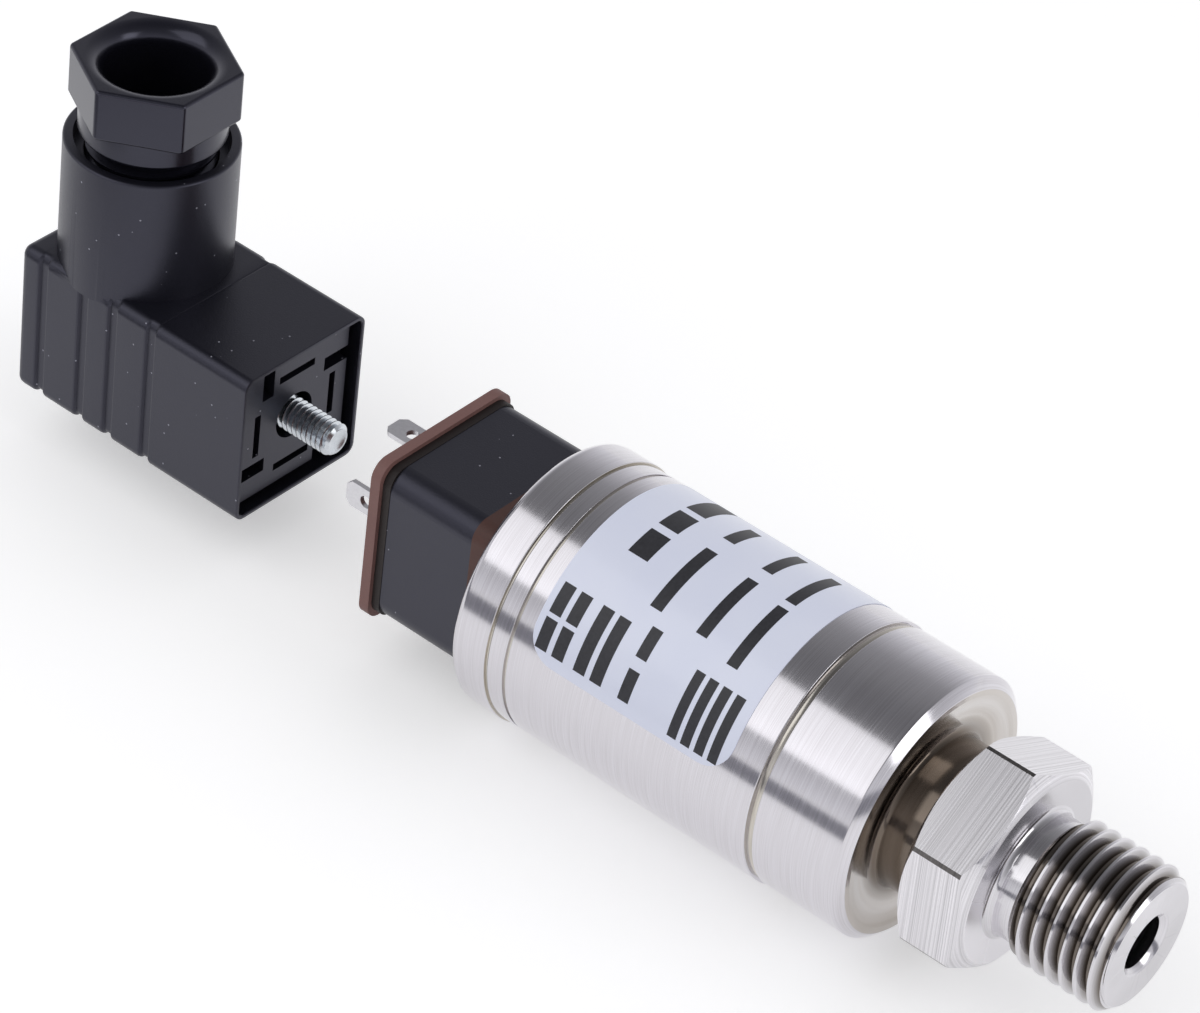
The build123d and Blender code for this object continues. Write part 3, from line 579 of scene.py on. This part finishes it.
# Polyester film with a gloss face: cool white, very slightly uneven.
film, tree, shader, place = new_material(
    "white_polyester_film", {"Coat Weight": 0.3, "Coat Roughness": 0.15, "IOR": 1.55}
)
waves = add_node(tree, "ShaderNodeTexNoise", {"Scale": 1 / (6.0 * MM), "Detail": 2.0}, {"Vector": place})
tree.links.new(shaded_between(tree, waves.outputs[0], "#dfe4f7", "#e8ecfb"), shader.inputs["Base Color"])
sheen = add_node(tree, "ShaderNodeMapRange", {"To Min": 0.28, "To Max": 0.36}, {"Value": waves.outputs[0]})
tree.links.new(sheen.outputs[0], shader.inputs["Roughness"])

bm = bmesh.new()
wrapped(
    bm, label_low.x, label_high.x, label_start_deg, label_end_deg, label_corner, label_radius,
    film_thickness,
)
finish_piece(bm, "label_film", "transmitter", [film], ["label"])

# Thermal transfer ink on the film: flat black with a faint grain.
ink, tree, shader, place = new_material("black_transfer_ink", {"IOR": 1.5})
grain = add_node(tree, "ShaderNodeTexNoise", {"Scale": 1 / (0.3 * MM), "Detail": 2.0}, {"Vector": place})
tree.links.new(shaded_between(tree, grain.outputs[0], "#232327", "#38383e"), shader.inputs["Base Color"])
dull = add_node(tree, "ShaderNodeMapRange", {"To Min": 0.38, "To Max": 0.5}, {"Value": grain.outputs[0]})
tree.links.new(dull.outputs[0], shader.inputs["Roughness"])

ink_thickness = 0.012
print_base = label_radius + film_thickness
bm = bmesh.new()
# Rows of bars run round the tube, from the near side over the top: (x low, x high, start, end)
bars = [
    (-42.9, -40.7, 97, 111), (-42.9, -40.7, 80, 93), (-42.9, -40.7, 52, 76),
    (-37.8, -36.5, 91, 125), (-37.8, -36.5, 62, 81),
    (-32.7, -31.5, 93, 124.5), (-32.7, -31.5, 60, 85),
    (-28.6, -27.4, 97, 128.5), (-28.6, -27.4, 62, 93),
    (-45.9, -44.6, 134, 147), (-44.0, -42.7, 134, 147), (-45.9, -44.6, 149, 162), (-44.0, -42.7, 149, 162),
    (-41.5, -40.2, 134, 162), (-39.6, -38.3, 134, 162),
    (-36.4, -35.2, 131, 144), (-36.4, -35.2, 149, 162),
    (-30.6, -29.6, 136, 164), (-29.1, -28.1, 136, 164), (-27.6, -26.6, 136, 164), (-26.1, -25.1, 136, 164),
]
for x_low, x_high, start, end in bars:
    wrapped(bm, x_low, x_high, start, end, 0, print_base, ink_thickness)
finish_piece(bm, "label_print", "transmitter", [ink], ["label"])


# Seals of the connector base.
# Two flat mouldings in brown silicone: one under the base, one with slots for the blades over
# its front. Their cut edges show a soft, slightly uneven face.
def moulded(name, low, high, smooth, rough, grain_mm, depth_mm, specular=0.5, sheen_code="#ffffff"):
    """Matte moulded surface with a fine grain."""
    material, tree, shader, place = new_material(
        name, {"Specular IOR Level": specular, "Specular Tint": linear(sheen_code)}
    )
    grain = add_node(
        tree, "ShaderNodeTexNoise", {"Scale": 1 / (grain_mm * MM), "Detail": 3.0}, {"Vector": place}
    ).outputs[0]
    cloud = add_node(tree, "ShaderNodeTexNoise", {"Scale": 1 / (4.0 * MM), "Detail": 2.0}, {"Vector": place})
    blend = add_node(tree, "ShaderNodeMath", {"operation": "MULTIPLY_ADD", 1: 0.6}, {0: grain})
    share = add_node(tree, "ShaderNodeMath", {"operation": "MULTIPLY", 1: 0.4}, {0: cloud.outputs[0]})
    tree.links.new(share.outputs[0], blend.inputs[2])
    tree.links.new(shaded_between(tree, blend.outputs[0], low, high), shader.inputs["Base Color"])
    surfaced(tree, shader, grain, smooth, rough, grain, depth_mm)
    return material


def dress(node, material):
    """Gives a CAD node its material."""
    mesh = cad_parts[node].data
    mesh.materials.clear()
    mesh.materials.append(material)


lip_start = -67.9
brown_silicone = moulded("brown_silicone_rubber", "#40261f", "#5a372f", 0.5, 0.65, 0.25, 0.004)
dress("base_seal", brown_silicone)
# The front seal is a paler copy of the same brown silicone, and painted shade darkens the lip
# behind its full edge to near black.
front_silicone_painted_lip_shade = moulded("brown_silicone_rubber_front_painted_lip_shade", "#6b4b46", "#86625d", 0.5, 0.65, 0.25, 0.006)
tree = front_silicone_painted_lip_shade.node_tree
place = add_node(tree, "ShaderNodeTexCoord").outputs["Object"]
along = add_node(tree, "ShaderNodeSeparateXYZ", links={"Vector": place}).outputs["X"]
lip_painted_shade_mask = add_node(tree, "ShaderNodeMath", {"operation": "GREATER_THAN", 1: lip_start * MM}, {0: along})
# Painted shade on the lip.
overlaid(front_silicone_painted_lip_shade, lip_painted_shade_mask.outputs[0], "#1a0f0d")
dress("profile_gasket", front_silicone_painted_lip_shade)


# Connector base.
# Glass-filled polyamide, moulded black, with slots for the blades and a boss inside for the
# brass insert. Two screws under the front seal hold it.
def dusted(material, speck_mm, apart_mm, code):
    """Puts small pale specks of dust on a material."""
    tree = material.node_tree
    place = add_node(tree, "ShaderNodeTexCoord").outputs["Object"]
    cells = add_node(tree, "ShaderNodeTexVoronoi", {"Scale": 1 / (apart_mm * MM)}, {"Vector": place})
    speck = add_node(
        tree, "ShaderNodeMath", {"operation": "LESS_THAN", 1: speck_mm / apart_mm},
        {0: cells.outputs["Distance"]},
    )
    overlaid(material, speck.outputs[0], code)


# Moulded polyamide: bluish black, with a fine grain that catches the light on edges.
black_polyamide = moulded(
    "black_glass_filled_polyamide", "#0a0a0f", "#15151c", 0.29, 0.44, 0.16, 0.011, 0.8, "#e0e0fa"
)
dusted(black_polyamide, 0.09, 1.5, "#8c8c96")
dress("connector_base", black_polyamide)


# Contact blades.
# Stamped from copper alloy and tinned: three narrow ones and a wider earth blade, each with a
# hole near its chamfered tip.
def plated(name, low, high, smooth, rough, grain_mm, depth_mm):
    """Bright plating over stamped or cut metal."""
    material, tree, shader, place = new_material(name, {"Metallic": 1.0})
    grain = add_node(
        tree, "ShaderNodeTexNoise", {"Scale": 1 / (grain_mm * MM), "Detail": 3.0}, {"Vector": place}
    ).outputs[0]
    tree.links.new(shaded_between(tree, grain, low, high), shader.inputs["Base Color"])
    surfaced(tree, shader, grain, smooth, rough, grain, depth_mm)
    return material


# Tin on the blades is satin, zinc on the screws is bluish and bright, brass is left as machined.
tin_plate = plated("tin_plated_bronze", "#cdccd0", "#e4e3e6", 0.25, 0.4, 0.3, 0.0006)
zinc_plate = plated("zinc_plated_steel", "#c3c8ce", "#e6ebf0", 0.16, 0.28, 0.4, 0.0004)
brass = plated("machined_brass", "#b08d4a", "#d8b96e", 0.25, 0.4, 0.2, 0.002)
for node in ("contact_blades", "earth_blade", "socket_contacts"):
    dress(node, tin_plate)
for node in ("base_screws", "terminal_screws"):
    dress(node, zinc_plate)
dress("base_thread_insert", brass)


# Works inside the housing.
# Ceramic cell with its seal and clamp ring, the board with its parts, the holders and the leads.
# They are closed in, so each has the plain finish of its material.
ceramic = moulded("fired_alumina", "#dedad0", "#efece4", 0.45, 0.6, 0.2, 0.002)
black_rubber = moulded("black_nitrile_rubber", "#141416", "#222225", 0.5, 0.65, 0.2, 0.004)
solder_mask = moulded("green_solder_mask", "#0d3a22", "#175233", 0.3, 0.42, 0.5, 0.002)
epoxy = moulded("black_moulding_compound", "#17171a", "#26262a", 0.5, 0.65, 0.15, 0.003)
can = plated("drawn_aluminium", "#b6b8bc", "#d5d7da", 0.25, 0.38, 0.3, 0.002)
polyimide = moulded("amber_polyimide_film", "#8a4a0d", "#a8631c", 0.25, 0.38, 0.5, 0.001)
wire_sleeve = moulded("red_wire_insulation", "#8c1a12", "#a8261b", 0.35, 0.5, 0.3, 0.002)
natural_nylon = moulded("natural_polyamide", "#cfcabd", "#e2ded2", 0.42, 0.55, 0.3, 0.003)
for node, material in {
    "ceramic_sensor_cell": ceramic,
    "sensor_seal": black_rubber,
    "sensor_clamp_ring": cut_steel,
    "sensor_flex": polyimide,
    "main_circuit_board": solder_mask,
    "board_chips": epoxy,
    "board_capacitors": can,
    "front_board_holder": natural_nylon,
    "rear_board_holder": natural_nylon,
    "signal_wires": wire_sleeve,
    "cable_grommet": black_rubber,
    "screw_seal": black_rubber,
}.items():
    dress(node, material)


# Housing of the cable plug.
# Moulded in one piece: a square box, open at the front, with four grip grooves round its sides
# and an upright tube for the cable at the back.
plug_low, plug_high = span("plug_housing")
plug_half = 8.2
plug_corner = 1.1
rim_wall = 0.45
rim_depth = 2.4
rim_round = 0.15
plug_wall = 0.95
rear_wall = 2.0
grip_depth = 0.35
grip_lip = 0.07
top_line = 0.06
grip_width = 1.2
grips_from_front = (26.2, 20.9, 17.1, 12.2)
shoulder = 0.18
gland_x = plug_low.x + 8.4
gland_radius = plug_high.y
mouth_radius = 7.3
mouth_depth = 1.6
gland_bore = 6.35
grommet_low = span("cable_grommet")[0]
cable_way = 4.2
boss_radius = 4.5
boss_length = 4.0
recess_mouth_radius = 3.9
recess_radius = 3.3
recess_depth = 2.8
screw_way = 2.0


def square_loop(bm, x, half, corner):
    """The edges of a square with round corners, across the X axis."""
    home = bm.verts.layers.float_vector.new("home")
    made = bmesh.ops.create_grid(
        bm, x_segments=1, y_segments=1, size=half,
        matrix=Matrix.Translation((x, 0, 0)) @ Matrix.Rotation(math.radians(90), 4, "Y"),
    )["verts"]
    made = bmesh.ops.bevel(
        bm, geom=made, offset=corner, affect="VERTICES", segments=6, profile=0.5, material=-1
    )["verts"]
    for v in made:
        v[home] = v.co
    edges = list({e for v in made for e in v.link_edges})
    bmesh.ops.delete(bm, geom=list({f for v in made for f in v.link_faces}), context="FACES_ONLY")
    return edges


def run_square(bm, edges, half, corner, stations):
    """Carries a square loop on through (x, inset, inset of the top side) stations."""
    home = bm.verts.layers.float_vector["home"]
    for x, inset, top_inset in stations:
        grown = bmesh.ops.extrude_edge_only(bm, edges=edges)["geom"]
        verts = {g for g in grown if isinstance(g, bmesh.types.BMVert)}
        edges = [g for g in grown if isinstance(g, bmesh.types.BMEdge) and set(g.verts) <= verts]
        for v in verts:
            y, z = v[home].y, v[home].z
            outward = Vector((y - math.copysign(half - corner, y), z - math.copysign(half - corner, z)))
            outward.normalize()
            inset_z = top_inset if outward.y > 0 else inset
            v.co = (x, y - inset * outward.x, z - inset_z * outward.y)
    return edges


def stand(bm, x):
    """Turns what was made along X upright, on a vertical axis at x."""
    bmesh.ops.rotate(bm, verts=bm.verts, cent=(0, 0, 0), matrix=Matrix.Rotation(math.radians(-90), 3, "Y"))
    bmesh.ops.translate(bm, verts=bm.verts, vec=(x, 0, 0))


rear_round = 0.9
front = plug_high.x
rear = plug_low.x
stations = []
for k in range(1, 6):
    turn = math.radians(18 * k)
    stations.append((rear + rear_round * (1 - math.cos(turn)), rear_round * (1 - math.sin(turn))))
stations = [(x, inset, inset) for x, inset in stations]
for from_front in grips_from_front:
    low = front - from_front - grip_width / 2
    high = low + grip_width
    # The groove nearest to the front goes on over the top as a faint line.
    over_top = top_line if from_front == min(grips_from_front) else 0
    stations += [
        (low - shoulder, 0, 0), (low, grip_lip, 0), (low + shoulder, grip_depth, 0),
        (high - shoulder, grip_depth, 0), (high, grip_lip, over_top), (high + shoulder, 0, 0),
    ]
stations += [
    (front - rim_round, 0, 0), (front - 0.04, 0.04, 0.04), (front, rim_round, rim_round),
    (front, rim_wall - 0.1, rim_wall - 0.1), (front - 0.1, rim_wall, rim_wall),
    (front - rim_depth, rim_wall, rim_wall), (front - rim_depth, plug_wall, plug_wall),
    (rear + rear_wall, plug_wall, plug_wall),
]
bm = bmesh.new()
start = square_loop(bm, rear, plug_half, plug_corner)
run_square(bm, start, plug_half, plug_corner, [(rear, rear_round, rear_round)] + stations)
bmesh.ops.delete(bm, geom=start, context="EDGES")
bmesh.ops.holes_fill(bm, edges=[e for e in bm.edges if e.is_boundary], sides=0)

tube = bmesh.new()
turned(
    tube,
    [(plug_half - 1.2, 0, 0), (plug_half - 1.2, gland_radius, 0), (plug_high.z, gland_radius, 0.25),
     (plug_high.z, 0, 0)],
    sides=128,
)
stand(tube, gland_x)
bm = boolean(bm, tube, "UNION")
hollow = bmesh.new()
turned(
    hollow,
    [(plug_half - 2.0, 0, 0), (plug_half - 2.0, cable_way, 0), (grommet_low.z, cable_way, 0),
     (grommet_low.z, gland_bore, 0), (plug_high.z - mouth_depth, gland_bore, 0),
     (plug_high.z - mouth_depth, mouth_radius, 0), (plug_high.z - 0.2, mouth_radius, 0),
     (plug_high.z + 1.0, mouth_radius + 0.6, 0), (plug_high.z + 1.0, 0, 0)],
    sides=128,
)
stand(hollow, gland_x)
bm = boolean(bm, hollow, "DIFFERENCE")
boss = bmesh.new()
turned(
    boss,
    [(rear + rear_wall - 0.5, 0, 0), (rear + rear_wall - 0.5, boss_radius, 0),
     (rear + boss_length, boss_radius, 0), (rear + boss_length, 0, 0)],
)
bm = boolean(bm, boss, "UNION")
recess = bmesh.new()
turned(
    recess,
    [(rear - 1.0, 0, 0), (rear - 1.0, recess_mouth_radius, 0), (rear + 0.2, recess_radius, 0),
     (rear + recess_depth, recess_radius, 0), (rear + recess_depth, screw_way, 0),
     (rear + boss_length + 1.0, screw_way, 0), (rear + boss_length + 1.0, 0, 0)],
    sides=96,
)
bm = boolean(bm, recess, "DIFFERENCE")
finish_piece(bm, "plug_shell", "plug", [black_polyamide], ["plug_housing"])


# Contact insert of the plug.
# Black polyamide, pushed in from the front: four slots for the blades, four open pockets and a
# hole for the fixing screw.
dress("contact_insert", black_polyamide)


# Fixing screw.
# Zinc-plated steel, M3.5 with a cup point; its slotted head is sunk in the back of the plug.
screw_low, screw_high = span("fixing_screw")
screw_crest = 1.7
screw_root = 1.32
screw_pitch = 0.6
screw_thread = 11.0
screw_head_radius = 3.0
screw_head_height = 2.0
screw_slot = 1.0
screw_slot_depth = 0.9

bm = bmesh.new()
foot_rim, tip_rim = threaded(
    bm, screw_crest, screw_root, screw_pitch, screw_high.x - screw_thread, screw_high.x, screw_root, 1.3, 64
)
run_loop(
    bm, tip_rim,
    [(screw_high.x, 1.1), (screw_high.x - 0.05, 0.95), (screw_high.x - 0.12, 0.4),
     (screw_high.x - 0.14, 0.05)],
)
head_front = screw_low.x + screw_head_height
run_loop(
    bm, foot_rim,
    [(screw_high.x - screw_thread - 0.3, screw_crest - 0.1), (head_front + 0.2, screw_crest - 0.1),
     (head_front, screw_crest + 0.1), (head_front, screw_head_radius - 0.1),
     (head_front - 0.1, screw_head_radius), (screw_low.x + 0.35, screw_head_radius),
     (screw_low.x + 0.1, screw_head_radius - 0.12), (screw_low.x, screw_head_radius - 0.4)],
)
bmesh.ops.holes_fill(bm, edges=[e for e in bm.edges if e.is_boundary], sides=0)
slot_cut = bmesh.new()
bmesh.ops.create_cube(
    slot_cut, size=1.0,
    matrix=Matrix.Translation((screw_low.x, 0, 0))
    @ Matrix.Diagonal((2 * screw_slot_depth, 4 * screw_head_radius, screw_slot, 1)),
)
bm = boolean(bm, slot_cut, "DIFFERENCE")
finish_piece(bm, "plug_screw", "fixing_screw", [zinc_plate], ["fixing_screw"])


# Cable gland: nut and thrust washer.
# Black polyamide. The hexagon nut has a rounded mouth for the cable, a collar that dips into
# the tube and a thread below it; the washer lies loose between nut and grommet.
nut_low, nut_high = span("gland_nut")
nut_flats = 14.3
nut_first_corner_deg = 31.6
nut_hex_height = 5.4
nut_collar_radius = 7.05
nut_collar_height = 2.3
nut_bore = 5.0
nut_flare = 1.75
nut_thread_crest = 6.25
nut_thread_root = 5.6
nut_thread_pitch = 1.27
nut_edge = 0.35

# Polyamide with a slight shine, as a hard tool leaves it on small thick parts.
shiny_polyamide = moulded(
    "black_polyamide_satin", "#0c0c11", "#16161e", 0.18, 0.27, 0.12, 0.0012, 0.75, "#e0e0fa"
)

hex_foot = nut_high.z - nut_hex_height
bm = bmesh.new()
hexagon(bm, nut_flats, nut_first_corner_deg - 90, hex_foot, nut_high.z)
break_edges(bm, nut_edge, segments=4)
collar = bmesh.new()
turned(
    collar,
    [(hex_foot - nut_collar_height, 0, 0), (hex_foot - nut_collar_height, nut_collar_radius, 0.3),
     (hex_foot + 0.5, nut_collar_radius, 0), (hex_foot + 0.5, 0, 0)],
    sides=128,
)
bm = boolean(bm, collar, "UNION")
mouth = bmesh.new()
outline = [(nut_low.z - 1, 0, 0), (nut_low.z - 1, nut_bore, 0), (nut_high.z - nut_flare, nut_bore, 0)]
for k in range(1, 9):
    turn = math.radians(90 * k / 8)
    outline.append(
        (nut_high.z - nut_flare + nut_flare * math.sin(turn), nut_bore + nut_flare * (1 - math.cos(turn)), 0)
    )
outline += [(nut_high.z + 1, nut_bore + nut_flare, 0), (nut_high.z + 1, 0, 0)]
turned(mouth, outline, sides=128)
bm = boolean(bm, mouth, "DIFFERENCE")
stand(bm, gland_x)
# The threaded stem reaches a little into the collar, and its bore clears the collar's.
stem = bmesh.new()
stem_top = hex_foot - nut_collar_height + 0.2
foot_rim, top_rim = threaded(
    stem, nut_thread_crest, nut_thread_root, nut_thread_pitch, nut_low.z, stem_top,
    nut_thread_root, nut_thread_crest, 64,
)
inside = run_loop(stem, foot_rim, [(nut_low.z, nut_bore + 0.01), (stem_top, nut_bore + 0.01)])
bmesh.ops.bridge_loops(stem, edges=inside + top_rim)
stand(stem, gland_x)
joined = bpy.data.meshes.new("joined")
stem.to_mesh(joined)
bm.from_mesh(joined)
stem.free()
bpy.data.meshes.remove(joined)
finish_piece(bm, "compression_nut", "gland_nut", [shiny_polyamide], ["gland_nut"])
dress("thrust_washer", shiny_polyamide)


# Studio: floor, light and camera.
# A plain pale floor under the part, two large soft lamps, grey cards for the steel to mirror, and
# the camera where the photograph was taken from.
floor_drop = 0.4
floor_half = 1.5
lamp_target = Vector((-0.05, 0, 0))


def studio_white(name, lit, seen):
    """White that the camera, metal and glass see as plain white, while it still takes shadows."""
    material = bpy.data.materials.new(name)
    material.use_nodes = True
    tree = material.node_tree
    shader = tree.nodes["Principled BSDF"]
    shader.inputs["Base Color"].default_value = linear(lit)
    shader.inputs["Roughness"].default_value = 0.8
    shader.inputs["Specular IOR Level"].default_value = 0.2
    shader.inputs["Emission Color"].default_value = (1, 1, 1, 1)
    path = add_node(tree, "ShaderNodeLightPath")
    glossy = add_node(
        tree, "ShaderNodeMath", {"operation": "MAXIMUM"},
        {0: path.outputs["Is Glossy Ray"], 1: path.outputs["Is Transmission Ray"]},
    )
    either = add_node(
        tree, "ShaderNodeMath", {"operation": "MAXIMUM"},
        {0: path.outputs["Is Camera Ray"], 1: glossy.outputs[0]},
    )
    glow = add_node(tree, "ShaderNodeMath", {"operation": "MULTIPLY", 1: seen}, {0: either.outputs[0]})
    tree.links.new(glow.outputs[0], shader.inputs["Emission Strength"])
    return material


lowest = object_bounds()[0][2]
bm = bmesh.new()
bmesh.ops.create_grid(bm, x_segments=1, y_segments=1, size=floor_half)
bmesh.ops.translate(bm, verts=bm.verts, vec=(lamp_target.x, 0, lowest - floor_drop * MM))
mesh = bpy.data.meshes.new("floor")
bm.to_mesh(mesh)
bm.free()
floor = bpy.data.objects.new("floor", mesh)
bpy.context.scene.collection.objects.link(floor)
mesh.materials.append(studio_white("floor_paper", "#f2f2f2", 0.35))

# The room is white at the level of the table and falls to a dim grey ceiling, as metal and
# plastic mirror it; soft rays get one plain level from all sides.
world = bpy.data.worlds.new("studio")
bpy.context.scene.world = world
world.use_nodes = True
tree = world.node_tree
background = tree.nodes["Background"]
way = add_node(tree, "ShaderNodeTexCoord").outputs["Generated"]
height = add_node(tree, "ShaderNodeSeparateXYZ", links={"Vector": way}).outputs["Z"]
room = add_node(tree, "ShaderNodeValToRGB", links={"Fac": height})
room.color_ramp.elements[0].position = 0.0
room.color_ramp.elements[0].color = (1.0, 1.0, 1.0, 1)
room.color_ramp.elements[1].position = 1.0
room.color_ramp.elements[1].color = (0.13, 0.13, 0.14, 1)
for position, level in ((0.1, 0.85), (0.37, 0.58), (0.62, 0.34), (0.85, 0.24)):
    room.color_ramp.elements.new(position).color = (level, level, level * 1.04, 1)
path = add_node(tree, "ShaderNodeLightPath")
soft = add_node(
    tree, "ShaderNodeMix", {"data_type": "RGBA"},
    {"Factor": path.outputs["Is Diffuse Ray"], 6: room.outputs[0]},
)
soft.inputs[7].default_value = (0.6, 0.6, 0.615, 1)
tree.links.new(soft.outputs[2], background.inputs["Color"])


def lamp(name, place, size, watts):
    """A soft lamp that points at the part."""
    light = bpy.data.lights.new(name, "AREA")
    light.shape = "RECTANGLE"
    light.size, light.size_y = size
    light.energy = watts
    lamp_object = bpy.data.objects.new(name, light)
    bpy.context.scene.collection.objects.link(lamp_object)
    lamp_object.location = place
    lamp_object.rotation_euler = (lamp_target - Vector(place)).to_track_quat("-Z", "Y").to_euler()


def card(name, place, size):
    """A grey card that only reflections see, as a photographer stands beside bright metal."""
    bm = bmesh.new()
    bmesh.ops.create_grid(bm, x_segments=1, y_segments=1, size=0.5)
    bmesh.ops.scale(bm, vec=(size[0], size[1], 1), verts=bm.verts)
    mesh = bpy.data.meshes.new(name)
    bm.to_mesh(mesh)
    bm.free()
    material = bpy.data.materials.new("grey_card")
    material.use_nodes = True
    material.node_tree.nodes["Principled BSDF"].inputs["Base Color"].default_value = linear("#9a9aa2")
    mesh.materials.append(material)
    board = bpy.data.objects.new(name, mesh)
    bpy.context.scene.collection.objects.link(board)
    board.location = place
    board.rotation_euler = (lamp_target - Vector(place)).to_track_quat("Z", "Y").to_euler()
    board.visible_camera = False
    board.visible_diffuse = False
    board.visible_shadow = False


lamp("key", (-0.30, -0.36, 0.42), (0.55, 0.42), 0.72)
lamp("fill", (0.50, 0.10, 0.32), (0.32, 0.32), 0.55)
card("near_card", (-0.0825, -0.075, -0.003), (0.5, 0.018))
card("end_card", (0.16, -0.08, 0.008), (0.2, 0.04))

# The lens takes in slightly more than the photograph does, so that the whole plug is in view.
camera_place = Vector((0.1504, -0.2826, 0.2836))
camera_right = Vector((0.7601, 0.64097, 0.10579))
camera_up = Vector((-0.46454, 0.42268, 0.77828))
focal_share = 4949 / 1200
lens = bpy.data.cameras.new("camera")
lens.sensor_width = 36.0
lens.lens = focal_share * lens.sensor_width
camera = bpy.data.objects.new("camera", lens)
bpy.context.scene.collection.objects.link(camera)
back = camera_right.cross(camera_up).normalized()
turn = Matrix((camera_right, back.cross(camera_right).normalized(), back)).transposed()
camera.matrix_world = Matrix.Translation(camera_place) @ turn.to_4x4()
bpy.context.scene.camera = camera
bpy.context.scene.view_settings.view_transform = "Standard"
